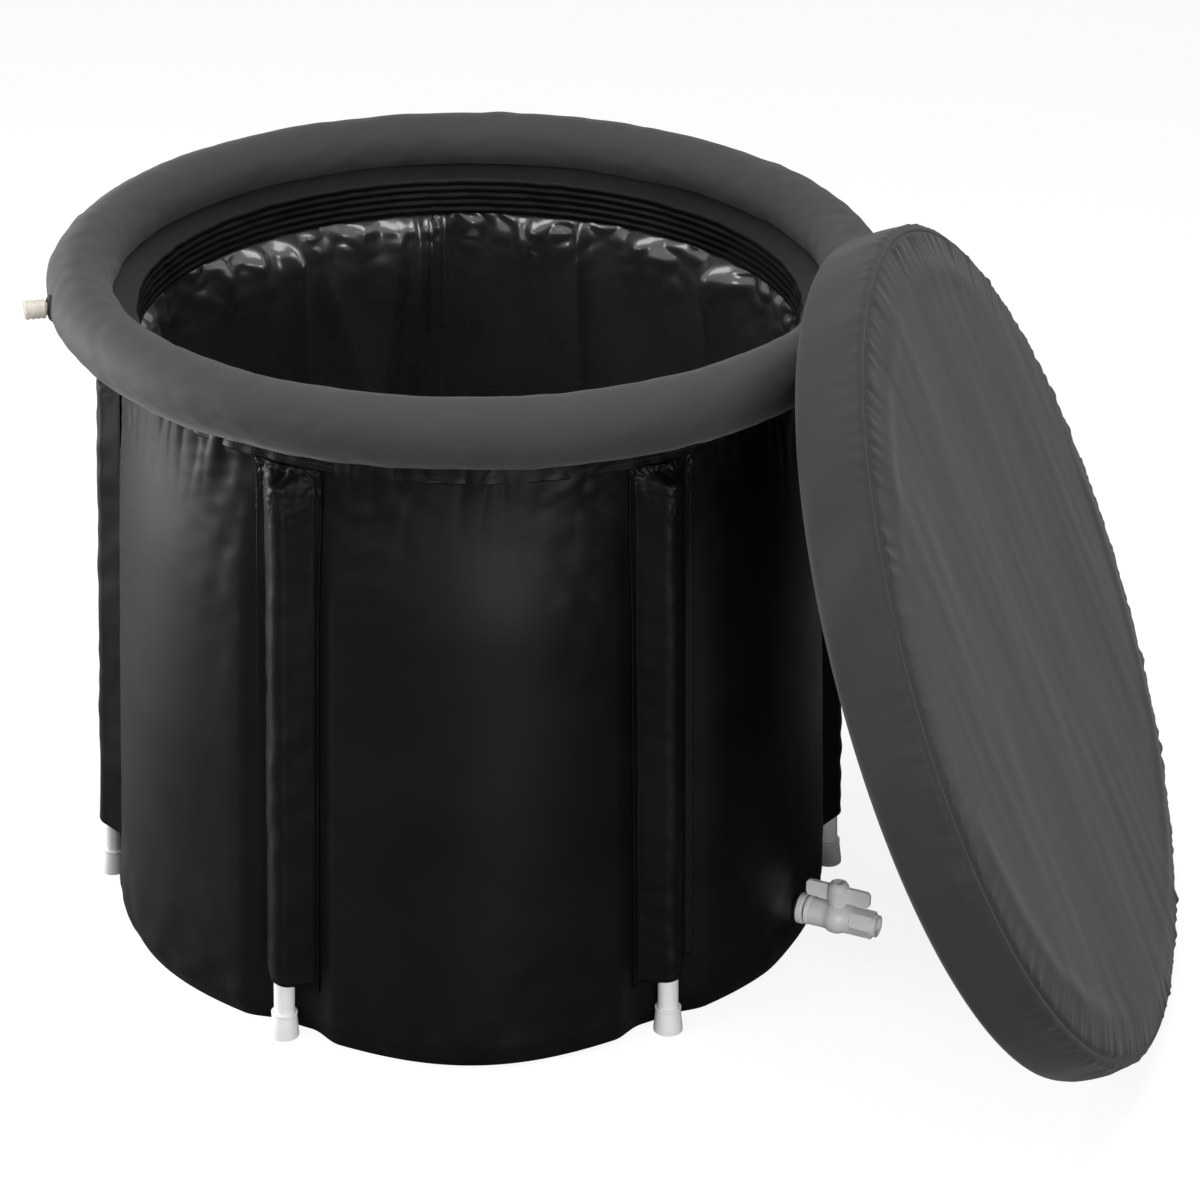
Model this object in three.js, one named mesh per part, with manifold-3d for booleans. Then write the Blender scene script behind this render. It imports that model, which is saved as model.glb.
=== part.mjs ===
// Cold plunge tub: a soft round tub on six legs, with an inflated collar, a drain valve and a padded lid.
// Millimetres, +Z up, the floor at z = 0 and the tub's axis on Z. Azimuths run from -Y (the front) to +X.
import * as THREE from "three";
import { mergeVertices } from "three/addons/utils/BufferGeometryUtils.js";
import Module from "manifold-3d";

const wasm = await Module();
wasm.setup();

// Clearance between pieces that touch
const GAP = 0.3;

// Tub wall: outer cloth, foam and liner
const WALL_HEIGHT = 690; // from the floor to the wall's top edge
const WALL_TOP_RADIUS = 364; // outside of the wall at a leg, at the top edge
const WALL_FOOT_RADIUS = 389; // outside of the wall at a leg, at the floor
const WALL_BULGE = 10; // how far the cloth stands out midway between two legs
const BULGE_HEIGHT = 300; // the bulge is full up to here and fades to the top edge
const CORNER_RISE = 25; // height of the rounded bottom corner
const CORNER_TUCK = 8; // how far that corner draws in at the floor
const SKIN = 1.5;
const FOAM = 6;
const LINER = 1.2;
const LINER_SLACK = 1.2; // play between the foam and the liner
const FOLD_DEPTH = 14; // how far the liner's folds stand into the tub
const FOLD_COUNT = 11;

// Base: outer cloth, foam pad and liner floor
const BASE_SKIN = 2;
const BASE_FOAM = 9;
const FLOOR_LINER = 1.5;

// Inflated collar and the cloth bands that join it to the wall
const COLLAR_TUBE = 35; // outside radius of the inflated tube
const COLLAR_FILM = 2;
const COLLAR_SETBACK = 9; // from the wall's outside to the collar's inner edge
const COLLAR_RISE = 25; // collar's centre above the wall's top edge
const COLLAR_PRESS = 15; // how far the leaning lid presses the collar in
const HEM_HEIGHT = 45; // outer band, below the wall's top edge
const HEM_PLAY = 0.9; // between the slack wall and the outer band
const BAND_HEIGHT = 35; // inner band, below the wall's top edge
const BAND_THICK = 2;

// Air valve on the collar
const AIR_AZIMUTH = -76;
const AIR_NECK_RADIUS = 7;
const AIR_NECK_WALL = 2.4;
const AIR_NECK_LENGTH = 16; // outside the collar
const AIR_NECK_INSIDE = 11; // inside the collar
const AIR_FLANGE_RADIUS = 9.5;
const AIR_FLANGE_THICK = 3;
const AIR_PATCH_RADIUS = 14;
const AIR_PATCH_THICK = 2.5;
const AIR_CAP_WALL = 2;
const AIR_CAP_LENGTH = 22;
const AIR_CAP_RIDGE = 0.8;
const AIR_CAP_RIDGES = 4;
const AIR_FLAP_THICK = 1.5;

// Legs, feet and the cloth pockets that hold the legs
const LEG_COUNT = 6;
const LEG_PHASE = 2.8; // turn of the whole set of legs, degrees
const LEG_RADIUS = 11;
const LEG_WALL = 2.5;
const LEG_SEAT = 0.6; // from the wall to the foot's rim
const CAP_PLUG = 12; // length of the top cap's plug in the leg
const CAP_FLANGE = 2.5;
const FOOT_HEIGHT = 28;
const FOOT_BASE_RADIUS = 15.5;
const FOOT_RIM_WALL = 2.6; // foot wall round the leg at the rim
const FOOT_RIM_HEIGHT = 3;
const FOOT_FLOOR = 5;
const POCKET_BOTTOM = 66; // pocket's mouth above the floor
const POCKET_DROP = 2; // pocket's top below the hem
const POCKET_SKIN = 1.2;
const POCKET_TENT = 9; // how far the pocket's sides spread past the leg
const POCKET_MARGIN = 12; // flat sewn strip on each side
const POCKET_SEAM = 18; // gathered stretch above the leg at the top of the pocket

// Drain: bulkhead fitting and ball valve, placed along the drain's axis from the wall's outside
const DRAIN_AZIMUTH = 65;
const DRAIN_HEIGHT = 50;
const DRAIN_PLAY = 0.7; // room for the wall's curve behind the flat gaskets
const PIPE_RADIUS = 10;
const PIPE_BORE = 6.5;
const PIPE_FIT = 0.4; // radial play of the pipe in what it passes through
const GASKET_RADIUS = 16.5;
const GASKET_THICK = 2;
const FLANGE_RADIUS = 17;
const FLANGE_THICK = 7;
const NUT_RADIUS = 17;
const NUT_THICK = 8;
const NUT_END = 3; // pipe standing out of the nut inside the tub
const SEAL_RADIUS = 13;
const SEAL_THICK = 1.5;
const SOCKET_RADIUS = 15.6;
const SOCKET_DEPTH = 15; // pipe's hold in the valve
const SOCKET_STEP = 7; // from the socket's end to the ball chamber
const BODY_RADIUS = 18.5; // round belly over the ball
const BALL_RADIUS = 10;
const BALL_BORE = 6;
const SEAT_WIDTH = 5.5; // along the drain's axis
const CHAMBER_RADIUS = 11.6;
const PLUG_LENGTH = 5.2; // end piece's hold in the valve
const HEX_FLATS = 27;
const HEX_LENGTH = 24.5;
const MOUTH_RADIUS = 12.2;
const MOUTH_BORE = 9.5;
const MOUTH_LENGTH = 5;
const MOUTH_DEPTH = 16;

// Valve stem and wing handle, heights above the drain's axis
const STEM_RADIUS = 4.2;
const STEM_NECK_WALL = 4;
const STEM_NECK_RISE = 0.8; // neck above the belly
const STEM_HOLD = 15; // stem's length inside the handle
const TONGUE_WIDTH = 3.8;
const TONGUE_DEPTH = 2.4;
const STEM_SEAL = 1.1; // section of the stem's O-ring
const HUB_RADIUS = 12;
const HUB_HEIGHT = 24;
const HUB_DOME = 3;
const WING_LENGTH = 37; // from the stem's axis
const WING_HEIGHT = 19;
const WING_THICK = 5;
const WING_ROUND = 5;

// Padded lid, leaning on the collar with its lower edge on the floor
const LID_RADIUS = 442;
const LID_THICK = 77;
const LID_CROWN = 6;
const LID_CORNER = 8;
const LID_SKIN = 1.5;
const LID_TILT = 23.1; // from upright, degrees
const LID_AZIMUTH = 76.9;
const LID_SHIFT = 135; // sideways from the collar's nearest point, towards the front

// Fineness of round shapes
const TUB_STEPS = 60;
const LINER_STEPS = 84;
const TUBE_STEPS = 12;
const AIR_ROOM_STEPS = 8;
const FITTING_STEPS = 16;
const LEG_STEPS = 12;

const RAD = Math.PI / 180;
const FLOAT_TOLERANCE = 1e-4;

// Geometry with shared vertices and no empty triangles
function weld(geometry) {
  const bare = geometry.clone();
  bare.deleteAttribute("normal");
  bare.deleteAttribute("uv");
  const merged = mergeVertices(bare, FLOAT_TOLERANCE);
  const kept = [];
  for (let i = 0; i < merged.index.count; i += 3) {
    const [a, b, c] = [0, 1, 2].map((k) => merged.index.getX(i + k));
    if (a !== b && b !== c && c !== a) kept.push(a, b, c);
  }
  merged.setIndex(kept);
  return merged;
}

function toSolid(geometry) {
  const welded = weld(geometry);
  return new wasm.Manifold(
    new wasm.Mesh({
      numProp: 3,
      vertProperties: Float32Array.from(welded.attributes.position.array),
      triVerts: Uint32Array.from(welded.index.array),
    }),
  );
}

function toGeometry(solid) {
  const mesh = solid.getMesh();
  const geometry = new THREE.BufferGeometry();
  geometry.setAttribute("position", new THREE.BufferAttribute(Float32Array.from(mesh.vertProperties), 3));
  geometry.setIndex(new THREE.BufferAttribute(Uint32Array.from(mesh.triVerts), 1));
  return geometry;
}

function cut(geometry, ...cutters) {
  return toGeometry(cutters.reduce((solid, cutter) => solid.subtract(toSolid(cutter)), toSolid(geometry)));
}

function join(geometry, ...others) {
  return toGeometry(others.reduce((solid, other) => solid.add(toSolid(other)), toSolid(geometry)));
}

// A ring or disc turned about Z from [radius, height] points that close on themselves or on the axis.
function turned(outline, steps, startAngle = 0) {
  const points = outline.map(([radius, height]) => new THREE.Vector2(radius, height));
  if (THREE.ShapeUtils.area(points) < 0) points.reverse();
  const onAxis = points[0].x === 0 && points.at(-1).x === 0;
  if (!onAxis) points.push(points[0].clone());
  const geometry = new THREE.LatheGeometry(points, steps, startAngle);
  geometry.rotateX(Math.PI / 2);
  return weld(geometry);
}

function rod(radius, from, to, steps = FITTING_STEPS) {
  return turned([[0, from], [radius, from], [radius, to], [0, to]], steps);
}

function pipe(outer, inner, from, to, steps = FITTING_STEPS) {
  return turned([[inner, from], [outer, from], [outer, to], [inner, to]], steps);
}

// Moves each vertex by a function of its azimuth, radius and height that returns a new radius.
function reshape(geometry, radiusAt) {
  const position = geometry.attributes.position;
  for (let i = 0; i < position.count; i += 1) {
    const radius = Math.hypot(position.getX(i), position.getY(i));
    const azimuth = Math.atan2(position.getX(i), -position.getY(i));
    const moved = radiusAt(azimuth, radius, position.getZ(i));
    position.setXY(i, moved * Math.sin(azimuth), -moved * Math.cos(azimuth));
  }
  return geometry;
}

const tub = new THREE.Group();

function place(parent, name, geometry, [color, roughness]) {
  const material = new THREE.MeshStandardMaterial({ color, roughness, metalness: 0 });
  const mesh = new THREE.Mesh(geometry, material);
  mesh.name = name;
  parent.add(mesh);
}

// A group whose +Z points straight out from the tub's axis and whose +Y points up
function outwardGroup(azimuth, radius, height) {
  const turn = new THREE.Group();
  turn.rotation.z = azimuth * RAD;
  const stand = new THREE.Group();
  stand.position.set(0, -radius, height);
  stand.rotation.x = Math.PI / 2;
  turn.add(stand);
  tub.add(turn);
  tub.updateMatrixWorld(true);
  return stand;
}

const COATED_CLOTH = [0x161617, 0.42];
const COLLAR_CLOTH = [0x4a4a4c, 0.75];
const LINER_CLOTH = [0x0d0d0e, 0.3];
const FOAM_GREY = [0xb9bcc0, 0.9];
const WHITE_PVC = [0xe6e7e8, 0.4];
const BLACK_RUBBER = [0x1b1b1c, 0.8];
const CLEAR_PVC = [0xd9d5c9, 0.3];
const SEAT_WHITE = [0xf4f4f1, 0.5];

// Wall: the radius at a leg, and the bulge between legs, both in straight steps of height
const wallLean = (WALL_FOOT_RADIUS - WALL_TOP_RADIUS) / WALL_HEIGHT;
const cornerMiddle = { height: CORNER_RISE / 3, tuck: CORNER_TUCK / 4 };

function cornerTuck(height) {
  if (height >= CORNER_RISE) return 0;
  if (height >= cornerMiddle.height) {
    return (cornerMiddle.tuck * (CORNER_RISE - height)) / (CORNER_RISE - cornerMiddle.height);
  }
  return THREE.MathUtils.mapLinear(height, 0, cornerMiddle.height, CORNER_TUCK, cornerMiddle.tuck);
}

function wallRadius(height) {
  return WALL_FOOT_RADIUS - wallLean * height - cornerTuck(height);
}

function bulge(azimuth, height) {
  const fade = THREE.MathUtils.clamp((WALL_HEIGHT - height) / (WALL_HEIGHT - BULGE_HEIGHT), 0, 1);
  return WALL_BULGE * fade * Math.cos((LEG_COUNT / 2) * (azimuth - LEG_PHASE * RAD)) ** 2;
}

function swollen(geometry) {
  return reshape(geometry, (azimuth, radius, height) => (radius > 1 ? radius + bulge(azimuth, height) : radius));
}

// The whole space inside the wall, drawn in by a depth
function wallPlug(depth, heights, steps) {
  const outline = heights.map((height) => [wallRadius(height) - depth, height]);
  return swollen(turned([[0, heights[0]], ...outline, [0, heights.at(-1)]], steps, LEG_PHASE * RAD));
}

function wallLayer(depth, thick, heights, steps) {
  const past = [heights[0] - 1, ...heights, heights.at(-1) + 1];
  return cut(wallPlug(depth, heights, steps), wallPlug(depth + thick, past, steps));
}

const wallRows = [cornerMiddle.height, CORNER_RISE, BULGE_HEIGHT];
const foamDepth = SKIN + GAP;
const linerDepth = foamDepth + FOAM + LINER_SLACK;
const wallThick = linerDepth + LINER;
const padBottom = BASE_SKIN + GAP;
const padTop = padBottom + BASE_FOAM;
const floorBottom = padTop + GAP;
const floorTop = floorBottom + FLOOR_LINER;

// The liner's folds stand in between the inner band and the bulge, and are deepest under the band.
const linerBottom = floorTop + GAP;
const foldTop = WALL_HEIGHT - BAND_HEIGHT;
const foldSpan = foldTop - BULGE_HEIGHT;
const foldRows = [0.6, 0.92].map((share) => BULGE_HEIGHT + share * foldSpan);

function foldDepth(azimuth, height) {
  if (height <= BULGE_HEIGHT || height >= foldTop) return 0;
  const rise = (height - BULGE_HEIGHT) / foldSpan;
  const wave = Math.cos(FOLD_COUNT * azimuth + 2 * Math.sin(2 * azimuth));
  return FOLD_DEPTH * rise * Math.max(0, wave);
}

function foldedLiner() {
  const heights = [linerBottom, CORNER_RISE, BULGE_HEIGHT, ...foldRows, foldTop, WALL_HEIGHT - 2 * GAP];
  const layer = wallLayer(linerDepth, LINER, heights, LINER_STEPS);
  return reshape(layer, (azimuth, radius, height) => radius - foldDepth(azimuth, height));
}

// Drain's place on the wall, and the hole that its pipe takes through every layer
const drainRadius = wallRadius(DRAIN_HEIGHT) + bulge(DRAIN_AZIMUTH * RAD, DRAIN_HEIGHT);
const drain = outwardGroup(DRAIN_AZIMUTH, drainRadius, DRAIN_HEIGHT);

function drainHole() {
  const hole = rod(PIPE_RADIUS + PIPE_FIT, -2 * wallThick, 2 * wallThick);
  return hole.applyMatrix4(drain.matrixWorld);
}

place(tub, "outer_wall", cut(wallLayer(0, SKIN, [0, ...wallRows, WALL_HEIGHT], TUB_STEPS), drainHole()), COATED_CLOTH);
const foamRows = [padBottom, ...wallRows, WALL_HEIGHT - GAP];
place(tub, "wall_insulation", cut(wallLayer(foamDepth, FOAM, foamRows, TUB_STEPS), drainHole()), FOAM_GREY);
place(tub, "inner_liner", cut(foldedLiner(), drainHole()), LINER_CLOTH);

// Base: three discs that follow the wall's outline
function baseDisc(depth, bottom, top) {
  const radius = wallRadius(bottom) - depth;
  const disc = turned([[0, bottom], [radius, bottom], [radius, top], [0, top]], TUB_STEPS, LEG_PHASE * RAD);
  return reshape(disc, (azimuth, at) => (at > 1 ? at + bulge(azimuth, bottom) : at));
}

place(tub, "base_panel", baseDisc(SKIN + GAP, 0, BASE_SKIN), COATED_CLOTH);
place(tub, "base_insulation", baseDisc(foamDepth + FOAM + GAP, padBottom, padTop), FOAM_GREY);
place(tub, "liner_floor", baseDisc(foamDepth + FOAM + GAP, floorBottom, floorTop), LINER_CLOTH);

// Lid's pose: it stands on the floor and its inner face lies on the pressed collar.
const collarRadius = WALL_TOP_RADIUS + COLLAR_SETBACK + COLLAR_TUBE;
const collarHeight = WALL_HEIGHT + COLLAR_RISE;
const tilt = LID_TILT * RAD;
const lidReach =
  collarRadius * Math.cos(tilt) + collarHeight * Math.sin(tilt) + COLLAR_TUBE - COLLAR_PRESS + GAP;
const lidHalf = LID_THICK / 2;
const lidHeight =
  (LID_RADIUS - LID_CORNER) * Math.cos(tilt) + (lidHalf - LID_CORNER) * Math.sin(tilt) + LID_CORNER;
const lidDistance = (lidReach + lidHalf - lidHeight * Math.sin(tilt)) / Math.cos(tilt);
const lidNormal = new THREE.Vector3(0, -Math.cos(tilt), Math.sin(tilt));
lidNormal.applyAxisAngle(new THREE.Vector3(0, 0, 1), LID_AZIMUTH * RAD);

// Collar: a hollow ring, flattened where the lid lies on it, with a hole for the air valve
function collarRing(radius, steps) {
  const outline = [];
  for (let i = 0; i < steps; i += 1) {
    const angle = (2 * Math.PI * i) / steps;
    outline.push([collarRadius + radius * Math.cos(angle), collarHeight + radius * Math.sin(angle)]);
  }
  return turned(outline, TUB_STEPS, LEG_PHASE * RAD);
}

function pressed(geometry, reach) {
  const position = geometry.attributes.position;
  const point = new THREE.Vector3();
  for (let i = 0; i < position.count; i += 1) {
    point.fromBufferAttribute(position, i);
    const past = point.dot(lidNormal) - reach;
    if (past > 0) point.addScaledVector(lidNormal, -past);
    position.setXYZ(i, point.x, point.y, point.z);
  }
  return geometry;
}

const air = outwardGroup(AIR_AZIMUTH, collarRadius, collarHeight);
const airHole = rod(AIR_NECK_RADIUS + PIPE_FIT, 0, 2 * COLLAR_TUBE).applyMatrix4(air.matrixWorld);
const collarSkin = pressed(collarRing(COLLAR_TUBE, TUBE_STEPS), lidReach - GAP);
const collarRoom = pressed(collarRing(COLLAR_TUBE - COLLAR_FILM, AIR_ROOM_STEPS), lidReach - GAP - COLLAR_FILM);
place(tub, "inflatable_collar", cut(collarSkin, collarRoom, airHole), COLLAR_CLOTH);

// Cloth bands: the outer hem and the inner band run from the wall up to the collar's underside.
function underCollar(angle, clearance) {
  const step = (2 * Math.PI) / TUBE_STEPS;
  const fromFlat = ((angle * RAD) % step) - step / 2;
  const reach = (COLLAR_TUBE * Math.cos(step / 2)) / Math.cos(fromFlat) + clearance;
  return [collarRadius - reach * Math.cos(angle * RAD), collarHeight - reach * Math.sin(angle * RAD)];
}

const HEM_ANGLE = 45;
const BAND_ANGLE = 18;
const hemBottom = WALL_HEIGHT - HEM_HEIGHT;
const hemBend = WALL_HEIGHT - HEM_HEIGHT / 5;
const hemOutline = [
  [wallRadius(hemBottom) + HEM_PLAY, hemBottom],
  [wallRadius(hemBottom) + HEM_PLAY + BAND_THICK, hemBottom],
  [wallRadius(hemBend) + HEM_PLAY + BAND_THICK, hemBend - BAND_THICK],
  underCollar(HEM_ANGLE + BAND_THICK, BAND_THICK + GAP),
  underCollar(HEM_ANGLE, GAP),
  [wallRadius(hemBend) + HEM_PLAY, hemBend],
];
place(tub, "collar_hem", swollen(turned(hemOutline, TUB_STEPS, LEG_PHASE * RAD)), COLLAR_CLOTH);

const bandBack = wallRadius(WALL_HEIGHT) - wallThick - LINER_SLACK;
const bandShelf = WALL_HEIGHT + GAP;
const bandOutline = [
  [bandBack, WALL_HEIGHT - BAND_HEIGHT],
  [bandBack, bandShelf],
  [WALL_TOP_RADIUS, bandShelf],
  underCollar(BAND_ANGLE, GAP),
  underCollar(BAND_ANGLE - BAND_THICK, BAND_THICK + GAP),
  [WALL_TOP_RADIUS - BAND_THICK, bandShelf + BAND_THICK],
  [bandBack - BAND_THICK, bandShelf + BAND_THICK],
  [bandBack - BAND_THICK, WALL_HEIGHT - BAND_HEIGHT],
];
place(tub, "inner_top_band", turned(bandOutline, TUB_STEPS, LEG_PHASE * RAD), LINER_CLOTH);

// Air valve: a welded patch, a threaded neck with a flap at its inner end, and a screw cap
const neckBore = AIR_NECK_RADIUS - AIR_NECK_WALL;
const neckFrom = COLLAR_TUBE - AIR_NECK_INSIDE;
const neckTo = COLLAR_TUBE + AIR_NECK_LENGTH;
const roomSlope = Math.tan(Math.PI / AIR_ROOM_STEPS);
const flangeTo = COLLAR_TUBE - COLLAR_FILM - AIR_FLANGE_RADIUS * roomSlope - GAP;
const flangeFrom = flangeTo - AIR_FLANGE_THICK;
const neckOutline = [
  [neckBore, neckFrom],
  [AIR_NECK_RADIUS, neckFrom],
  [AIR_NECK_RADIUS, flangeFrom],
  [AIR_FLANGE_RADIUS, flangeFrom],
  [AIR_FLANGE_RADIUS, flangeTo - AIR_FLANGE_THICK / 2],
  [AIR_NECK_RADIUS, flangeTo],
  [AIR_NECK_RADIUS, neckTo],
  [neckBore, neckTo],
];
place(air, "air_valve_neck", turned(neckOutline, FITTING_STEPS), CLEAR_PVC);
place(air, "air_valve_flap", rod(neckBore - GAP, neckFrom, neckFrom + AIR_FLAP_THICK), BLACK_RUBBER);

const patchTop = COLLAR_TUBE + AIR_PATCH_THICK;
const patchBlank = pipe(AIR_PATCH_RADIUS, AIR_NECK_RADIUS + GAP, COLLAR_TUBE / 2, patchTop);
const patchSeat = collarRing(COLLAR_TUBE + GAP, TUBE_STEPS).applyMatrix4(air.matrixWorld.clone().invert());
place(air, "air_valve_patch", cut(patchBlank, patchSeat), BLACK_RUBBER);

const capFrom = patchTop + GAP;
const capTo = capFrom + AIR_CAP_LENGTH;
const capBore = AIR_NECK_RADIUS + GAP;
const capRadius = capBore + AIR_CAP_WALL;
const capOutline = [[0, neckTo + GAP], [capBore, neckTo + GAP], [capBore, capFrom]];
const ridgePitch = AIR_CAP_LENGTH / AIR_CAP_RIDGES;
for (let i = 0; i < AIR_CAP_RIDGES; i += 1) {
  const from = capFrom + i * ridgePitch;
  capOutline.push([capRadius, from]);
  capOutline.push([capRadius + AIR_CAP_RIDGE, from + ridgePitch / 2]);
}
capOutline.push([capRadius, capTo], [0, capTo]);
place(air, "air_valve_cap", turned(capOutline, FITTING_STEPS), CLEAR_PVC);

// Legs: a tube with a top cap and a foot, in a cloth pocket sewn to the wall
const lean = Math.atan(wallLean);
const pocketTop = (WALL_HEIGHT - HEM_HEIGHT - POCKET_DROP) / Math.cos(lean);
const legTop = pocketTop - POCKET_SEAM - CAP_FLANGE;
const legBore = LEG_RADIUS - LEG_WALL;
const footHole = LEG_RADIUS + GAP;
const footRim = footHole + FOOT_RIM_WALL;
const legOut = footRim + LEG_SEAT;

function legCap() {
  const shoulder = legTop + GAP;
  const plug = legBore - GAP;
  const outline = [
    [0, legTop - CAP_PLUG],
    [plug, legTop - CAP_PLUG],
    [plug, shoulder],
    [LEG_RADIUS, shoulder],
    [LEG_RADIUS, shoulder + CAP_FLANGE],
    [0, shoulder + CAP_FLANGE],
  ];
  return turned(outline, LEG_STEPS);
}

// The foot leans with its leg and is cut level at the floor.
function legFoot() {
  const belowFloor = FOOT_BASE_RADIUS * Math.sin(lean) + GAP;
  const rimBottom = FOOT_HEIGHT - FOOT_RIM_HEIGHT;
  const outline = [
    [0, -belowFloor],
    [FOOT_BASE_RADIUS, -belowFloor],
    [footRim - FOOT_RIM_WALL / 4, rimBottom],
    [footRim, rimBottom],
    [footRim, FOOT_HEIGHT],
    [footHole, FOOT_HEIGHT],
    [footHole, FOOT_FLOOR],
    [0, FOOT_FLOOR],
  ];
  const groundSize = 4 * FOOT_HEIGHT;
  const ground = new THREE.BoxGeometry(groundSize, groundSize, groundSize);
  ground.translate(0, 0, -groundSize / 2);
  ground.rotateX(lean);
  ground.translate(0, legOut, 0);
  return cut(turned(outline, LEG_STEPS), ground);
}

function legPocket() {
  const half = LEG_RADIUS + POCKET_TENT;
  const edge = half + POCKET_MARGIN;
  const ARCH_STEPS = 6;
  const archStart = 30 * RAD;
  const inside = LEG_RADIUS + GAP;
  const arch = (radius) =>
    Array.from({ length: ARCH_STEPS + 1 }, (_, i) => {
      const angle = archStart + ((Math.PI - 2 * archStart) * i) / ARCH_STEPS;
      return new THREE.Vector2(radius * Math.cos(angle), -(legOut + radius * Math.sin(angle)));
    });
  const foot = (x, out) => new THREE.Vector2(x, -out);
  const outer = GAP + POCKET_SKIN;
  const shape = new THREE.Shape([
    foot(edge, GAP),
    foot(half, GAP),
    ...arch(inside),
    foot(-half, GAP),
    foot(-edge, GAP),
    foot(-edge, outer),
    foot(-half - POCKET_SKIN, outer),
    ...arch(inside + POCKET_SKIN).reverse(),
    foot(half + POCKET_SKIN, outer),
    foot(edge, outer),
  ]);
  const depth = pocketTop - POCKET_BOTTOM;
  return new THREE.ExtrudeGeometry(shape, { depth, bevelEnabled: false }).translate(0, 0, POCKET_BOTTOM);
}

for (let i = 0; i < LEG_COUNT; i += 1) {
  const turn = new THREE.Group();
  turn.rotation.z = (LEG_PHASE + (360 / LEG_COUNT) * (i + 0.5)) * RAD - Math.PI;
  const wallLine = new THREE.Group();
  wallLine.position.set(0, -WALL_FOOT_RADIUS, 0);
  wallLine.rotation.x = -lean;
  turn.add(wallLine);
  const leg = new THREE.Group();
  leg.position.set(0, -legOut, 0);
  wallLine.add(leg);
  tub.add(turn);
  place(leg, `leg_tube_${i + 1}`, pipe(LEG_RADIUS, legBore, FOOT_FLOOR + GAP, legTop, LEG_STEPS), WHITE_PVC);
  place(leg, `leg_top_cap_${i + 1}`, legCap(), WHITE_PVC);
  place(leg, `leg_foot_${i + 1}`, legFoot(), WHITE_PVC);
  place(wallLine, `leg_pocket_${i + 1}`, legPocket(), COATED_CLOTH);
}

// Drain fitting: a flanged pipe through the wall, with a gasket on each side and a nut inside
const drainSeat = DRAIN_PLAY + GASKET_RADIUS * Math.abs(wallLean);
const outerGasket = [drainSeat, drainSeat + GASKET_THICK];
const flangeStart = outerGasket[1] + GAP;
const flangeEnd = flangeStart + FLANGE_THICK;
const innerGasket = [-wallThick - drainSeat - GASKET_THICK, -wallThick - drainSeat];
const nutSpan = [innerGasket[0] - GAP - NUT_THICK, innerGasket[0] - GAP];
const sealSpan = [flangeEnd + GAP, flangeEnd + GAP + SEAL_THICK];
const valveStart = sealSpan[1] + GAP;
const socketEnd = valveStart + SOCKET_DEPTH;
const pipeHole = PIPE_RADIUS + PIPE_FIT;
const bulkheadOutline = [
  [PIPE_BORE, nutSpan[0] - NUT_END],
  [PIPE_RADIUS, nutSpan[0] - NUT_END],
  [PIPE_RADIUS, flangeStart],
  [FLANGE_RADIUS, flangeStart],
  [FLANGE_RADIUS, flangeEnd],
  [PIPE_RADIUS, flangeEnd],
  [PIPE_RADIUS, socketEnd - GAP],
  [PIPE_BORE, socketEnd - GAP],
];
place(drain, "drain_bulkhead", turned(bulkheadOutline, FITTING_STEPS), WHITE_PVC);
place(drain, "drain_outer_gasket", pipe(GASKET_RADIUS, pipeHole, ...outerGasket), BLACK_RUBBER);
place(drain, "drain_inner_gasket", pipe(GASKET_RADIUS, pipeHole, ...innerGasket), BLACK_RUBBER);
const NUT_SIDES = 6;
const nutBlank = rod(NUT_RADIUS, ...nutSpan, NUT_SIDES);
place(drain, "drain_nut", cut(nutBlank, rod(pipeHole, nutSpan[0] - 1, nutSpan[1] + 1)), WHITE_PVC);
place(drain, "drain_o_ring", pipe(SEAL_RADIUS, pipeHole, ...sealSpan), BLACK_RUBBER);

// Ball valve: a body with a socket and a round belly, two seats, a bored ball and an end piece
const chamberStart = socketEnd + SOCKET_STEP;
const seatPlay = BALL_RADIUS + GAP;
const seatLip = Math.sqrt(seatPlay ** 2 - (CHAMBER_RADIUS - 3.5) ** 2) + GAP;
const ballCentre = chamberStart + GAP + SEAT_WIDTH + seatLip;
const chamberEnd = ballCentre + seatLip + SEAT_WIDTH + GAP + PLUG_LENGTH;

function bellyArc() {
  const ARC_STEPS = 6;
  const limit = Math.acos(SOCKET_RADIUS / BODY_RADIUS);
  return Array.from({ length: ARC_STEPS + 1 }, (_, i) => {
    const angle = limit * ((2 * i) / ARC_STEPS - 1);
    return [BODY_RADIUS * Math.cos(angle), ballCentre + BODY_RADIUS * Math.sin(angle)];
  });
}

const stemHole = STEM_RADIUS + GAP;
const neckTop = BODY_RADIUS + STEM_NECK_RISE;

// A piece turned about the stem's axis, which is upright through the ball's centre
function onStem(geometry) {
  return geometry.rotateX(-Math.PI / 2).translate(0, 0, ballCentre);
}

const bodyOutline = [
  [pipeHole, valveStart],
  [SOCKET_RADIUS, valveStart],
  ...bellyArc(),
  [SOCKET_RADIUS, chamberEnd],
  [CHAMBER_RADIUS, chamberEnd],
  [CHAMBER_RADIUS, chamberStart],
  [PIPE_BORE, chamberStart],
  [PIPE_BORE, socketEnd],
  [pipeHole, socketEnd],
];
const stemNeck = onStem(rod(stemHole + STEM_NECK_WALL, CHAMBER_RADIUS + 1, neckTop));
const stemBore = onStem(rod(stemHole, 0, neckTop + 1));
place(drain, "valve_body", cut(join(turned(bodyOutline, FITTING_STEPS), stemNeck), stemBore), WHITE_PVC);

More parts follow.
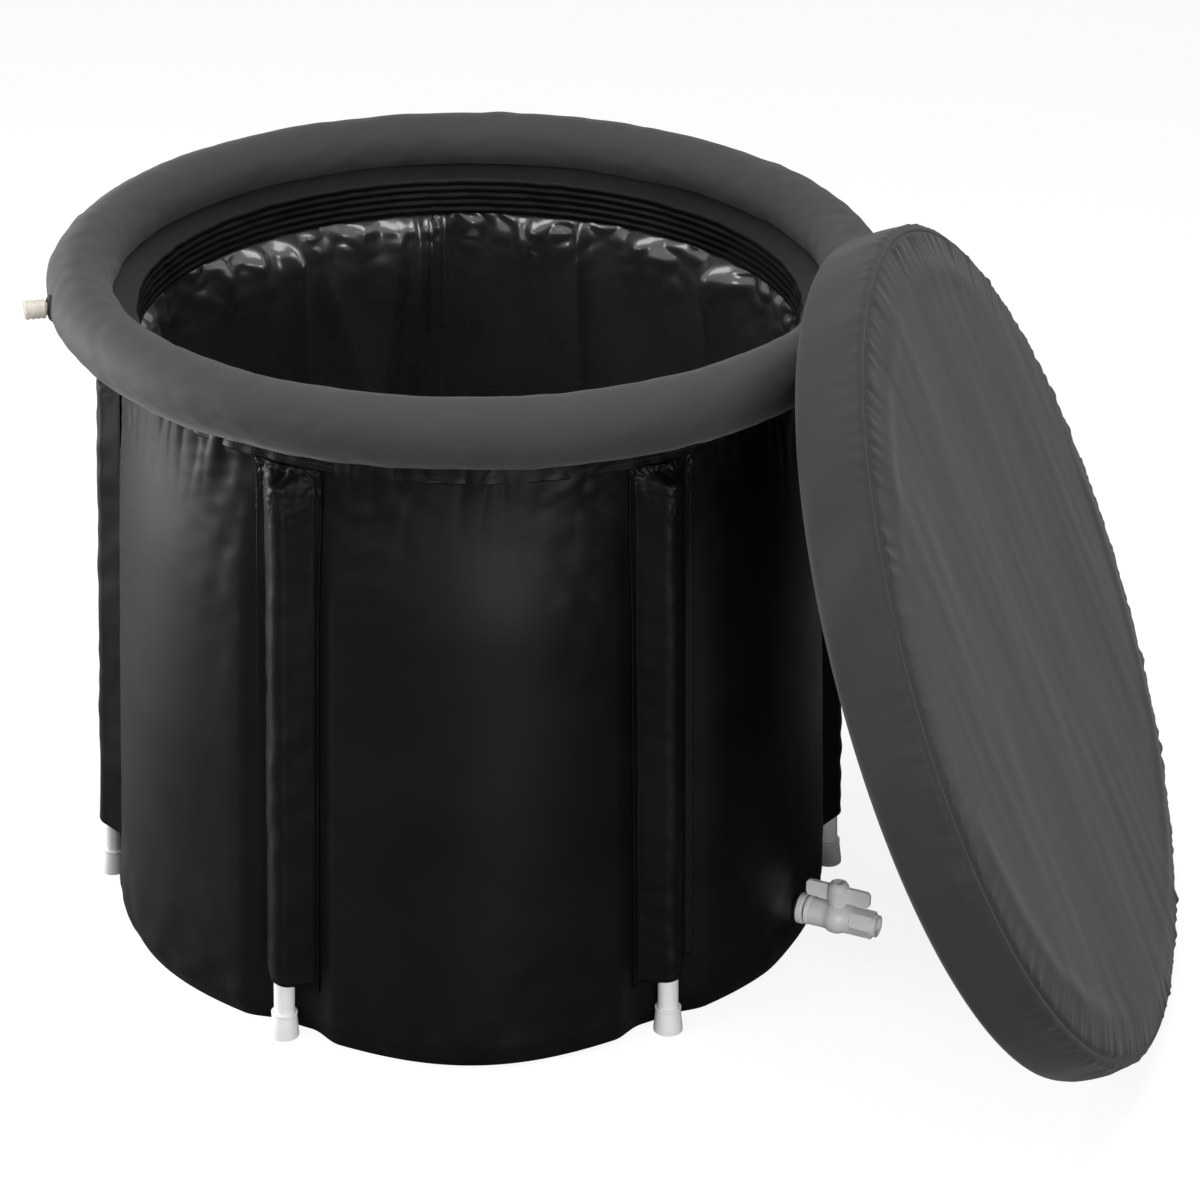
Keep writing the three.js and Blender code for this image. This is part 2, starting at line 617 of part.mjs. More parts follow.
function ballSeat(side) {
  const inner = BALL_BORE + GAP;
  const outer = CHAMBER_RADIUS - GAP;
  const face = CHAMBER_RADIUS - 3.5;
  const innerDepth = Math.sqrt(seatPlay ** 2 - inner ** 2) + GAP;
  const back = seatLip + SEAT_WIDTH;
  const outline = [[inner, back], [outer, back], [outer, seatLip], [face, seatLip], [inner, innerDepth]];
  return turned(outline.map(([radius, depth]) => [radius, ballCentre + side * depth]), FITTING_STEPS);
}

place(drain, "valve_seat_inner", ballSeat(-1), SEAT_WHITE);
place(drain, "valve_seat_outer", ballSeat(1), SEAT_WHITE);

const tongueBottom = BALL_RADIUS - TONGUE_DEPTH;
const ballSlot = new THREE.BoxGeometry(TONGUE_WIDTH + 2 * GAP, 2 * BALL_RADIUS, 4 * BALL_RADIUS);
ballSlot.translate(0, tongueBottom - GAP + BALL_RADIUS, ballCentre);
const ballBlank = new THREE.SphereGeometry(BALL_RADIUS, FITTING_STEPS, TUBE_STEPS).translate(0, 0, ballCentre);
const ballHole = rod(BALL_BORE, ballCentre - 2 * BALL_RADIUS, ballCentre + 2 * BALL_RADIUS);
place(drain, "valve_ball", cut(ballBlank, ballHole, ballSlot), WHITE_PVC);

const stemBottom = BALL_RADIUS + GAP;
const stemTop = neckTop + GAP + STEM_HOLD;
const sealBottom = (stemBottom + neckTop) / 2;
const groove = [sealBottom - GAP, sealBottom + STEM_SEAL + GAP];
const grooveRadius = STEM_RADIUS - STEM_SEAL;
const stemOutline = [
  [0, stemBottom],
  [STEM_RADIUS, stemBottom],
  [STEM_RADIUS, groove[0]],
  [grooveRadius, groove[0]],
  [grooveRadius, groove[1]],
  [STEM_RADIUS, groove[1]],
  [STEM_RADIUS, stemTop],
  [0, stemTop],
];
const tongueRise = TONGUE_DEPTH + 1;
const tongue = new THREE.BoxGeometry(TONGUE_WIDTH, tongueRise, 2 * STEM_RADIUS - 1);
tongue.translate(0, tongueBottom + tongueRise / 2, ballCentre);
place(drain, "valve_stem", join(onStem(turned(stemOutline, FITTING_STEPS)), tongue), WHITE_PVC);
const stemSeal = onStem(pipe(STEM_RADIUS, grooveRadius + GAP, sealBottom, sealBottom + STEM_SEAL));
place(drain, "stem_o_ring", stemSeal, BLACK_RUBBER);

// Wing handle: a domed hub on the stem with one upright plate through it
function wingPlate(bottom) {
  const shape = new THREE.Shape();
  const low = bottom + GAP;
  const high = bottom + WING_HEIGHT;
  shape.moveTo(-WING_LENGTH + WING_ROUND, low);
  shape.lineTo(WING_LENGTH - WING_ROUND, low);
  shape.absarc(WING_LENGTH - WING_ROUND, low + WING_ROUND, WING_ROUND, -Math.PI / 2, 0);
  shape.absarc(WING_LENGTH - WING_ROUND, high - WING_ROUND, WING_ROUND, 0, Math.PI / 2);
  shape.absarc(-WING_LENGTH + WING_ROUND, high - WING_ROUND, WING_ROUND, Math.PI / 2, Math.PI);
  shape.absarc(-WING_LENGTH + WING_ROUND, low + WING_ROUND, WING_ROUND, Math.PI, 1.5 * Math.PI);
  const plate = new THREE.ExtrudeGeometry(shape, { depth: WING_THICK, bevelEnabled: false, curveSegments: 4 });
  return plate.translate(0, 0, -WING_THICK / 2).rotateY(Math.PI / 2).translate(0, 0, ballCentre);
}

const hubBottom = neckTop + GAP;
const hubTop = hubBottom + HUB_HEIGHT;
const hubOutline = [
  [0, hubBottom],
  [HUB_RADIUS, hubBottom],
  [HUB_RADIUS, hubTop - 3 * HUB_DOME],
  [HUB_RADIUS - HUB_DOME, hubTop - HUB_DOME],
  [HUB_RADIUS - 2 * HUB_DOME, hubTop],
  [0, hubTop],
];
const hubHole = onStem(rod(stemHole, hubBottom - 1, stemTop + GAP));
const handle = cut(join(onStem(turned(hubOutline, FITTING_STEPS)), wingPlate(hubBottom)), hubHole);
place(drain, "valve_handle", handle, WHITE_PVC);

// End piece: a plug in the valve, a hexagon to grip and a round mouth with an inner thread
const plugStart = chamberEnd - PLUG_LENGTH + GAP;
const hexStart = chamberEnd + GAP;
const hexEnd = hexStart + HEX_LENGTH;
const mouthEnd = hexEnd + MOUTH_LENGTH;
const hexCorner = HEX_FLATS / 2 / Math.cos(Math.PI / 6);
const endBlank = join(
  rod(CHAMBER_RADIUS - GAP, plugStart, hexStart + 1),
  rod(hexCorner, hexStart, hexEnd, NUT_SIDES),
  rod(MOUTH_RADIUS, hexEnd - 1, mouthEnd),
);
const endPiece = cut(endBlank, rod(PIPE_BORE, plugStart - 1, mouthEnd), rod(MOUTH_BORE, mouthEnd - MOUTH_DEPTH, mouthEnd + 1));
place(drain, "valve_end_piece", endPiece, WHITE_PVC);

// Lid: a foam core in a crowned top panel, a side band round the edge and a flat underside
const lidTurn = new THREE.Group();
lidTurn.rotation.z = LID_AZIMUTH * RAD;
const lid = new THREE.Group();
lid.position.set(-LID_SHIFT, -lidDistance, lidHeight);
lid.rotation.x = Math.PI / 2 - tilt;
lidTurn.add(lid);
tub.add(lidTurn);

const faceEdge = LID_RADIUS - LID_CORNER;

// Height of the top face, less a depth, at shares of the way from the edge to the middle
function crownLine(radius, depth) {
  return [0, 0.35, 0.7, 1].map((share) => {
    const rise = LID_CROWN * Math.sin((share * Math.PI) / 2);
    return [radius * (1 - share), lidHalf - LID_CROWN - depth + rise];
  });
}

// Edge outline from the underside to the top, drawn in by a depth
function edgeLine(depth) {
  const top = lidHalf - LID_CROWN;
  const bend = LID_CORNER * (1 - Math.SQRT1_2);
  const out = LID_RADIUS - depth;
  return [
    [faceEdge, -lidHalf + depth],
    [out - bend, -lidHalf + depth + bend],
    [out, -lidHalf + LID_CORNER],
    [out, top - LID_CORNER],
    [out - bend, top - depth - bend],
    [faceEdge, top - depth],
  ];
}

place(lid, "lid_side_band", turned([...edgeLine(0), ...edgeLine(LID_SKIN).reverse()], TUB_STEPS), COLLAR_CLOTH);
const panelEdge = faceEdge - GAP;
const topOutline = [...crownLine(panelEdge, 0).reverse(), ...crownLine(panelEdge, LID_SKIN)];
place(lid, "lid_top_panel", turned(topOutline, TUB_STEPS), COLLAR_CLOTH);
const underOutline = [[0, -lidHalf], [panelEdge, -lidHalf], [panelEdge, -lidHalf + LID_SKIN], [0, -lidHalf + LID_SKIN]];
place(lid, "lid_underside", turned(underOutline, TUB_STEPS), COLLAR_CLOTH);
const coreDepth = LID_SKIN + GAP;
const coreOutline = [[0, -lidHalf + coreDepth], ...edgeLine(coreDepth), ...crownLine(panelEdge, coreDepth).slice(1)];
place(lid, "lid_core", turned(coreOutline, TUB_STEPS), FOAM_GREY);

export default tub;
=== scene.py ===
import math

import bmesh
import bpy
import numpy as np
from mathutils import Matrix, Vector


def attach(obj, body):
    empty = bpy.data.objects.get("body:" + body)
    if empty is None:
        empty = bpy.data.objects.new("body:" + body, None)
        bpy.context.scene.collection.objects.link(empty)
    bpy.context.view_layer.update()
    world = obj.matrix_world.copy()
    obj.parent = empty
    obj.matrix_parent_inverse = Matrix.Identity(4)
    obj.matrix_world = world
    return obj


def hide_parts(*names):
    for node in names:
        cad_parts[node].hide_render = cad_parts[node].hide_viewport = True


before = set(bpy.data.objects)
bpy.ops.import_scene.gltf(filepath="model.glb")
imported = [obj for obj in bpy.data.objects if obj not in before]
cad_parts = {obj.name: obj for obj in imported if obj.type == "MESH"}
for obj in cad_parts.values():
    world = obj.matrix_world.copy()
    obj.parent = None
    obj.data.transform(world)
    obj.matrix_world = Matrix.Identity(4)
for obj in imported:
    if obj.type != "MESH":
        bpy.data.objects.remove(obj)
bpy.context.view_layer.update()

# Camera: a long lens in front of the tub and above its rim, turned down to look into it.
# The tub's front, between two legs, faces the lens.
scene = bpy.context.scene
scene.view_settings.view_transform = "Standard"
camera_data = bpy.data.cameras.new("camera")
camera_data.sensor_width = 36
camera_data.lens = 120
camera = bpy.data.objects.new("camera", camera_data)
CAMERA_PLACE = (0.14085, -3.9183, 2.2805)
CAMERA_DIP = 0.4607
CAMERA_ROLL = 0.0133
camera.matrix_world = (
    Matrix.Translation(CAMERA_PLACE)
    @ Matrix.Rotation(math.pi / 2 - CAMERA_DIP, 4, "X")
    @ Matrix.Rotation(CAMERA_ROLL, 4, "Z")
)
scene.collection.objects.link(camera)
scene.camera = camera


# Studio: a pale floor that keeps a faint shadow, a white background and five soft lamps.
# The lamps are a low and a high panel on the left, a wide one overhead, one beside the lens and
# a weak one on the right.
def linear(hex_colour):
    """Linear RGBA from an sRGB hex value."""
    channels = [int(hex_colour[i : i + 2], 16) / 255 for i in (1, 3, 5)]
    return tuple(c / 12.92 if c <= 0.04045 else ((c + 0.055) / 1.055) ** 2.4 for c in channels) + (1,)


def set_inputs(tree, node, inputs):
    """Sets or links a node's inputs by name or number."""
    for socket, value in inputs.items():
        if isinstance(value, bpy.types.NodeSocket):
            tree.links.new(value, node.inputs[socket])
        else:
            node.inputs[socket].default_value = value


def add_node(tree, kind, inputs=None, **settings):
    """Adds a node with its properties and its inputs."""
    node = tree.nodes.new(kind)
    for name, value in settings.items():
        setattr(node, name, value)
    set_inputs(tree, node, inputs or {})
    return node


def seen_directly(tree):
    """1 for rays from the lens, from gloss and through clear plastic, 0 for the rest."""
    path = add_node(tree, "ShaderNodeLightPath").outputs
    seen = path["Is Camera Ray"]
    for kind in ("Is Glossy Ray", "Is Transmission Ray"):
        seen = add_node(tree, "ShaderNodeMath", {0: seen, 1: path[kind]}, operation="MAXIMUM").outputs[0]
    return seen


AMBIENT = 0.16
world = bpy.data.worlds.new("studio")
scene.world = world
world.use_nodes = True
world.node_tree.nodes.clear()
strength = add_node(
    world.node_tree,
    "ShaderNodeMapRange",
    {"Value": seen_directly(world.node_tree), "To Min": AMBIENT, "To Max": 1.0},
)
backdrop = add_node(
    world.node_tree, "ShaderNodeBackground", {"Color": (1, 1, 1, 1), "Strength": strength.outputs[0]}
)
add_node(world.node_tree, "ShaderNodeOutputWorld", {"Surface": backdrop.outputs[0]})

FLOOR_HALF = 14
FLOOR_GLOW = 0.86
floor_mesh = bpy.data.meshes.new("floor")
floor_corners = [(x * FLOOR_HALF, y * FLOOR_HALF, 0) for x, y in ((-1, -1), (1, -1), (1, 1), (-1, 1))]
floor_mesh.from_pydata(floor_corners, [], [(0, 1, 2, 3)])
floor = bpy.data.objects.new("floor", floor_mesh)
scene.collection.objects.link(floor)
floor_paint = bpy.data.materials.new("white_studio_floor")
floor_paint.use_nodes = True
floor_tree = floor_paint.node_tree
floor_tree.nodes.clear()
matt = add_node(floor_tree, "ShaderNodeBsdfDiffuse", {"Color": linear("#8c8c8c")})
to_lens = add_node(floor_tree, "ShaderNodeLightPath").outputs["Is Camera Ray"]
glow_strength = add_node(floor_tree, "ShaderNodeMath", {0: to_lens, 1: FLOOR_GLOW}, operation="MULTIPLY")
glow = add_node(floor_tree, "ShaderNodeEmission", {"Strength": glow_strength.outputs[0]})
both = add_node(floor_tree, "ShaderNodeAddShader", {0: matt.outputs[0], 1: glow.outputs[0]})
add_node(floor_tree, "ShaderNodeOutputMaterial", {"Surface": both.outputs[0]})
floor_mesh.materials.append(floor_paint)


def soft_panel(name, place, aim, width, height, radiance):
    """A rectangular lamp at a place that faces a point, with the given brightness of its surface."""
    lamp = bpy.data.lights.new(name, "AREA")
    lamp.shape = "RECTANGLE"
    lamp.size = width
    lamp.size_y = height
    lamp.energy = radiance * math.pi * width * height
    holder = bpy.data.objects.new(name, lamp)
    way = Vector(aim) - Vector(place)
    holder.matrix_world = Matrix.Translation(place) @ way.to_track_quat("-Z", "Y").to_matrix().to_4x4()
    scene.collection.objects.link(holder)


soft_panel("left_panel", (-2.6, 0.45, 0.45), (0, 0, 0.4), 1.0, 1.1, 25.0)
soft_panel("top_panel", (0.0, -0.3, 3.2), (0.1, 0, 0.6), 2.2, 1.8, 4.8)
soft_panel("high_left_panel", (-3.0, -1.9, 2.4), (0, 0, 0.5), 1.2, 1.1, 7.0)
soft_panel("front_panel", (0.9, -3.3, 1.0), (0.4, -0.2, 0.1), 1.3, 1.1, 13.0)
soft_panel("right_panel", (2.6, -0.8, 2.2), (0.5, 0, 0.4), 0.9, 1.2, 0.8)


# Outer wall: one tall band of black coated cloth that leans in towards the top and swells between the legs.
# It is sewn to the base round the floor and to the hem under the collar, which gathers it in small puckers.
WALL_HEIGHT = 0.690
WALL_TOP_RADIUS = 0.364
WALL_FOOT_RADIUS = 0.389
WALL_BULGE = 0.010
BULGE_HEIGHT = 0.300
LEG_COUNT = 6
LEG_PHASE = math.radians(2.8)
HEM_BOTTOM = 0.645
WALL_LEAN = (WALL_FOOT_RADIUS - WALL_TOP_RADIUS) / WALL_HEIGHT
CORNER_RISE = 0.025
CORNER_TUCK = 0.008
DRAIN_AZIMUTH = math.radians(65)
DRAIN_HEIGHT = 0.050
SWELL_ALL_ROUND = 0.004
SWELL_FRONT = 0.014
SWELL_FOOT = 0.006
RIPPLE_COUNT = 26
leg_azimuths = [LEG_PHASE + math.tau / LEG_COUNT * (i + 0.5) - math.pi for i in range(LEG_COUNT)]


def smooth(value, low, high):
    """A soft step from 0 at low to 1 at high."""
    share = np.clip((value - low) / (high - low), 0, 1)
    return share * share * (3 - 2 * share)


def on_ring(azimuth, radius, height):
    """Points round the tub's axis, with azimuth 0 at the front."""
    azimuth, radius, height = np.broadcast_arrays(azimuth, radius, height)
    return np.stack([radius * np.sin(azimuth), -radius * np.cos(azimuth), height], axis=-1)


def ripples(points, length, climb, seed):
    """Soft random waves about one high, of a given length. Climb tilts their crests from upright."""
    random = np.random.RandomState(seed)
    total = np.zeros(points.shape[:-1])
    for _ in range(RIPPLE_COUNT):
        heading = random.uniform(0, math.tau)
        pace = math.tau / (length * random.uniform(0.75, 1.5))
        wave = pace * np.array([math.cos(heading), math.sin(heading), climb * random.normal()])
        total += np.cos(points @ wave + random.uniform(0, math.tau))
    return total / math.sqrt(RIPPLE_COUNT / 2)


def wall_radius(height):
    """The wall's plain lean, tucked in round the floor."""
    tuck = CORNER_TUCK * (1 - smooth(height, 0, CORNER_RISE)) ** 2
    return WALL_FOOT_RADIUS - WALL_LEAN * height - tuck


def bulge(azimuth, height):
    """How far the wall swells between the legs, as its solid does."""
    fade = np.clip((WALL_HEIGHT - height) / (WALL_HEIGHT - BULGE_HEIGHT), 0, 1)
    return WALL_BULGE * fade * np.cos(LEG_COUNT / 2 * (azimuth - LEG_PHASE)) ** 2


def from_leg(azimuth):
    """Distance round the wall from the nearest leg."""
    step = math.tau / LEG_COUNT
    turn = (azimuth - leg_azimuths[0] + step / 2) % step - step / 2
    return turn * WALL_FOOT_RADIUS


def swell(azimuth, height):
    """How far the filled wall stands out past the sunken legs, away from the hem and the drain."""
    beside = smooth(np.abs(from_leg(azimuth)), 0.020, 0.060)
    from_drain = np.hypot((azimuth - DRAIN_AZIMUTH) * WALL_FOOT_RADIUS, height - DRAIN_HEIGHT)
    foot = SWELL_FOOT * np.exp(-((azimuth - LEG_PHASE) / 0.3) ** 2) * (1 - smooth(height, 0.0, 0.5))
    fullness = SWELL_ALL_ROUND + SWELL_FRONT * np.exp(-((azimuth / 0.62) ** 2))
    clear_of_seams = smooth(HEM_BOTTOM - height, 0.004, 0.17) * smooth(from_drain, 0.030, 0.085)
    return (fullness * beside + foot) * clear_of_seams


def cloth_mesh(name, points, cloth, size, wrap_u=False, wrap_v=False, body="tub"):
    """A quad mesh over a grid of points, with a UV map in metres of the flat cloth, riding on a body."""
    across, along = points.shape[:2]
    u = np.arange(across if wrap_u else across - 1)
    v = np.arange(along if wrap_v else along - 1)
    u, v = (grid.ravel() for grid in np.meshgrid(u, v, indexing="ij"))
    corners = [(u, v), (u + 1, v), (u + 1, v + 1), (u, v + 1)]
    faces = np.stack([(a % across) * along + b % along for a, b in corners], axis=1)
    mesh = bpy.data.meshes.new(name)
    mesh.from_pydata(points.reshape(-1, 3), [], faces)
    cell_u = size[0] / (across if wrap_u else across - 1)
    cell_v = size[1] / (along if wrap_v else along - 1)
    flat = np.stack([np.stack([a * cell_u, b * cell_v], -1) for a, b in corners], axis=1)
    mesh.uv_layers.new(name="flat_cloth").data.foreach_set("uv", flat.astype(np.float32).ravel())
    mesh.shade_smooth()
    mesh.materials.append(cloth)
    piece = bpy.data.objects.new(name, mesh)
    scene.collection.objects.link(piece)
    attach(piece, body)
    return piece


def blank_material(name):
    """A new material, with its node tree, its shader and the place on the object."""
    material = bpy.data.materials.new(name)
    material.use_nodes = True
    tree = material.node_tree
    place = add_node(tree, "ShaderNodeTexCoord").outputs["Object"]
    return material, tree, tree.nodes["Principled BSDF"], place


# Coated cloth is polyester with a black vinyl face: nearly black, a satin gloss and a faint pebble.
# The pebble is about 0.8 mm on the real cloth and is drawn at 2 mm so that it shows.
coated_cloth, tree, shader, place = blank_material("vinyl_coated_polyester")
PEBBLE = 0.002
MOTTLE = 0.09
mottle = add_node(tree, "ShaderNodeTexNoise", {"Vector": place, "Scale": 1 / MOTTLE, "Detail": 4.0})
shade = add_node(tree, "ShaderNodeValToRGB", {"Fac": mottle.outputs["Fac"]})
shade.color_ramp.elements[0].position = 0.3
shade.color_ramp.elements[0].color = linear("#080809")
shade.color_ramp.elements[1].position = 0.75
shade.color_ramp.elements[1].color = linear("#0d0d0e")
gloss = add_node(
    tree,
    "ShaderNodeMapRange",
    {"Value": mottle.outputs["Fac"], "From Min": 0.3, "From Max": 0.7, "To Min": 0.44, "To Max": 0.54},
)
pebble = add_node(tree, "ShaderNodeTexNoise", {"Vector": place, "Scale": 1 / PEBBLE, "Detail": 2.0})
grain = add_node(
    tree, "ShaderNodeBump", {"Height": pebble.outputs["Fac"], "Strength": 0.12, "Distance": 0.0006}
)
surface = {
    "Base Color": shade.outputs["Color"],
    "Roughness": gloss.outputs["Result"],
    "Normal": grain.outputs["Normal"],
    "Specular IOR Level": 0.14,
}
set_inputs(tree, shader, surface)

WALL_COLUMNS = 960
WALL_ROWS = 92
GATHER_DEPTH = 0.0015
SLACK_DEPTH = 0.0020
TOP_PULL_DEPTH = 0.0011
FOOT_PULL_DEPTH = 0.0013
CLOTH_LIFT = 0.0012
azimuths = np.linspace(-math.pi, math.pi, WALL_COLUMNS, endpoint=False)[:, None]
row_shares = np.linspace(0, 1, WALL_ROWS)
heights = (WALL_HEIGHT * (1 - (1 - row_shares) ** 1.35))[None, :]
plain = on_ring(azimuths, wall_radius(heights) + bulge(azimuths, heights), heights)
clear_of_leg = smooth(np.abs(from_leg(azimuths)), 0.034, 0.075)
below_hem = np.clip(HEM_BOTTOM - heights, 0, None)
gathers = GATHER_DEPTH * np.abs(ripples(plain, 0.030, 0.15, 3)) * np.exp(-below_hem / 0.028)
slack = SLACK_DEPTH * ripples(plain, 0.26, 0.12, 5) * smooth(heights, 0.0, 0.12)
corner_pull = np.exp(-((np.abs(from_leg(azimuths)) - 0.075) / 0.06) ** 2)
top_pull = TOP_PULL_DEPTH * ripples(plain, 0.034, 0.9, 7) * corner_pull * np.exp(-below_hem / 0.13)
foot_pull = FOOT_PULL_DEPTH * ripples(plain, 0.046, 0.7, 9) * np.exp(-heights / 0.07)
drape = clear_of_leg * (gathers + slack + top_pull + foot_pull + CLOTH_LIFT)
drape = np.maximum(drape, -0.0002) * smooth(heights, -0.001, 0.02) + swell(azimuths, heights)
wall = cloth_mesh(
    "outer_wall_cloth",
    on_ring(azimuths, wall_radius(heights) + bulge(azimuths, heights) + drape, heights),
    coated_cloth,
    (math.tau * WALL_FOOT_RADIUS, WALL_HEIGHT),
    wrap_u=True,
)
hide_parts("outer_wall")


# Base: a disc of the same coated cloth under the tub and a disc of liner vinyl inside it, over a foam pad.
# The floor of the liner is slack and lies in shallow creases.
BASE_RINGS = 60
BASE_COLUMNS = 360
BASE_LIFT = 0.0018
BASE_INSET = 0.001
CLOTH_THICK = 0.0014
PINHOLE = 0.00002
FLOOR_TOP = 0.0131


def disc_points(radius_at, height_at):
    """Points of a disc from its middle to an edge that follows the wall."""
    turn = np.linspace(-math.pi, math.pi, BASE_COLUMNS, endpoint=False)[:, None]
    share = np.linspace(PINHOLE, 1, BASE_RINGS)[None, :] ** 0.8
    flat_points = on_ring(turn, radius_at(turn) * share, 0.0)
    flat_points[..., 2] = height_at(flat_points, share)
    return flat_points


def thicken(piece, thickness, offset):
    """Gives a cloth its thickness, outward of its mesh for 1 and inward for -1."""
    skin = piece.modifiers.new("thickness", "SOLIDIFY")
    skin.thickness = thickness
    skin.offset = offset


base_cloth = cloth_mesh(
    "base_cloth",
    disc_points(
        lambda turn: wall_radius(0) + bulge(turn, 0.0) + swell(turn, 0.0) - BASE_INSET,
        lambda points, share: BASE_LIFT,
    ),
    coated_cloth,
    (1.2, WALL_FOOT_RADIUS),
    wrap_u=True,
)
thicken(base_cloth, CLOTH_THICK, 1)
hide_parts("base_panel")


# Inner liner: glossy black vinyl, cut too long and gathered under the inner band. Its top edge crumples,
# and deep pleats run down from it and fade out towards the floor.
LINER_DEPTH = 0.0102
LINER_TOP = 0.655
BAND_EDGE = LINER_TOP - 0.004
LINER_COLUMNS = 1040
LINER_ROWS = 90

# Liner vinyl is calendered sheet: black, with a coat of gloss, broad smudges and crinkles about 6 mm long.
liner_vinyl, tree, shader, place = blank_material("glossy_black_vinyl")
SMUDGE = 0.07
CRINKLE = 0.006
smudge = add_node(tree, "ShaderNodeTexNoise", {"Vector": place, "Scale": 1 / SMUDGE, "Detail": 5.0})
gloss = add_node(
    tree,
    "ShaderNodeMapRange",
    {"Value": smudge.outputs["Fac"], "From Min": 0.3, "From Max": 0.7, "To Min": 0.22, "To Max": 0.36},
)
# Painted light: the liner's colour is lifted from black to dark grey to make up for the dim light inside the
# tub.
painted_light_tone = add_node(tree, "ShaderNodeValToRGB", {"Fac": smudge.outputs["Fac"]})
painted_light_tone.color_ramp.elements[0].color = linear("#2e2e30")
painted_light_tone.color_ramp.elements[1].color = linear("#3c3c3e")
crinkle = add_node(tree, "ShaderNodeTexNoise", {"Vector": place, "Scale": 1 / CRINKLE, "Detail": 3.0})
film = add_node(
    tree, "ShaderNodeBump", {"Height": crinkle.outputs["Fac"], "Strength": 0.1, "Distance": 0.0008}
)
surface = {
    "Base Color": painted_light_tone.outputs["Color"],
    "Roughness": gloss.outputs["Result"],
    "Normal": film.outputs["Normal"],
    "Specular IOR Level": 0.75,
    "Coat Weight": 0.6,
    "Coat Roughness": 0.12,
}
set_inputs(tree, shader, surface)

# The deepest folds at the back: where round the tub in degrees, width, length down the wall and depth.
DEEP_FOLDS = [
    (-168, 0.0050, 0.40, 0.017),
    (-170.5, 0.0045, 0.34, 0.015),
    (-173, 0.0055, 0.30, 0.014),
    (170, 0.0160, 0.06, 0.020),
    (161, 0.0065, 0.30, 0.013),
    (148, 0.0200, 0.07, 0.022),
    (128, 0.0180, 0.08, 0.020),
    (-134, 0.0200, 0.14, 0.018),
    (-141, 0.0100, 0.20, 0.014),
    (-126, 0.0140, 0.10, 0.016),
]
PLEAT_COUNT = 54
PLEAT_WIDTHS = [0.004, 0.007, 0.012, 0.022]
CRUMPLE_DEPTH = 0.0052
LINER_SLACK = 0.0022


def pleats(azimuth, height):
    """How far the liner stands into the tub: broad folds and narrow pleats, which swell out just below the
    band and fade out downwards.
    """
    random = np.random.RandomState(21)
    down = np.clip(BAND_EDGE - height, 0, None)
    depth = np.zeros(np.broadcast(azimuth, height).shape)
    folds = [(*fold, 0.0) for fold in DEEP_FOLDS]
    for _ in range(PLEAT_COUNT):
        width = random.choice(PLEAT_WIDTHS)
        tall = random.uniform(0.35, 1.0) * min(0.016, 1.5 * width)
        degrees = random.uniform(-180, 180)
        reach = random.uniform(0.05, 0.3)
        slant = random.normal() * 0.12
        folds.append((degrees, width, reach, tall, slant))
    for degrees, width, reach, tall, slant in folds:
        middle = math.radians(degrees)
        away = ((azimuth - middle + math.pi) % math.tau - math.pi) * WALL_TOP_RADIUS - slant * down
        spread = width * (1 + 1.4 * down / reach)
        belly = (1 - np.exp(-down / 0.011)) * np.exp(-down / reach)
        depth += 1.6 * tall * np.exp(-np.abs(away / spread) ** 1.4) * belly
    return depth


azimuths = np.linspace(0, math.tau, LINER_COLUMNS, endpoint=False)[:, None]
row_shares = np.linspace(0, 1, LINER_ROWS)[None, :]
top_edge = LINER_TOP + 0.008
heights = FLOOR_TOP + (top_edge - FLOOR_TOP) * (1 - (1 - row_shares) ** 2.1)
backing = wall_radius(heights) + bulge(azimuths, heights) - LINER_DEPTH
plain = on_ring(azimuths, backing, heights)
below_band = np.clip(BAND_EDGE - heights, 0, None)
drawn_in = 1 - np.exp(-below_band / 0.008)
crumple = CRUMPLE_DEPTH * np.abs(ripples(plain, 0.046, 0.8, 25)) * drawn_in * np.exp(-below_band / 0.034)
slack = LINER_SLACK * (1 + ripples(plain, 0.17, 0.15, 27)) * smooth(heights, 0.0, 0.1)
stand_in = pleats(azimuths, heights) + crumple + np.maximum(slack, 0) * drawn_in
liner = cloth_mesh(
    "inner_liner_vinyl",
    on_ring(azimuths, backing - stand_in, heights)[::-1],
    liner_vinyl,
    (math.tau * WALL_FOOT_RADIUS, LINER_TOP),
    wrap_u=True,
)
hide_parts("inner_liner")


def creased_floor(points, share):
    """Heights of the liner's floor: shallow creases that die out at its edge."""
    creases = 0.0012 * np.abs(ripples(points, 0.13, 0, 29))
    return FLOOR_TOP - 0.001 + creases * (1 - share**6)


liner_floor = cloth_mesh(
    "liner_floor_vinyl",
    disc_points(
        lambda turn: wall_radius(FLOOR_TOP) + bulge(turn, FLOOR_TOP) - LINER_DEPTH,
        creased_floor,
    ),
    liner_vinyl,
    (1.2, WALL_FOOT_RADIUS),
    wrap_u=True,
)
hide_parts("liner_floor")


# Foam: pale closed-cell sheet in the wall, the base and the lid, hidden by the cloth and liner.
# Its cells are about 1.5 mm across and give a fine pitted surface.
FOAM_CELL = 0.0015
foam, tree, shader, place = blank_material("closed_cell_foam")
cells = add_node(tree, "ShaderNodeTexVoronoi", {"Vector": place, "Scale": 1 / FOAM_CELL})
pits = add_node(
    tree, "ShaderNodeBump", {"Height": cells.outputs["Distance"], "Strength": 0.3, "Distance": 0.0005}
)
surface = {
    "Normal": pits.outputs["Normal"],
    "Base Color": linear("#b9bcc0"),
    "Roughness": 0.9,
}
set_inputs(tree, shader, surface)


def paint_solids(names, material):
    """Gives solids that keep their CAD shape a finished material."""
    for name in names:
        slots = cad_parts[name].data.materials
        slots.clear()
        slots.append(material)


paint_solids(["wall_insulation", "base_insulation", "lid_core"], foam)


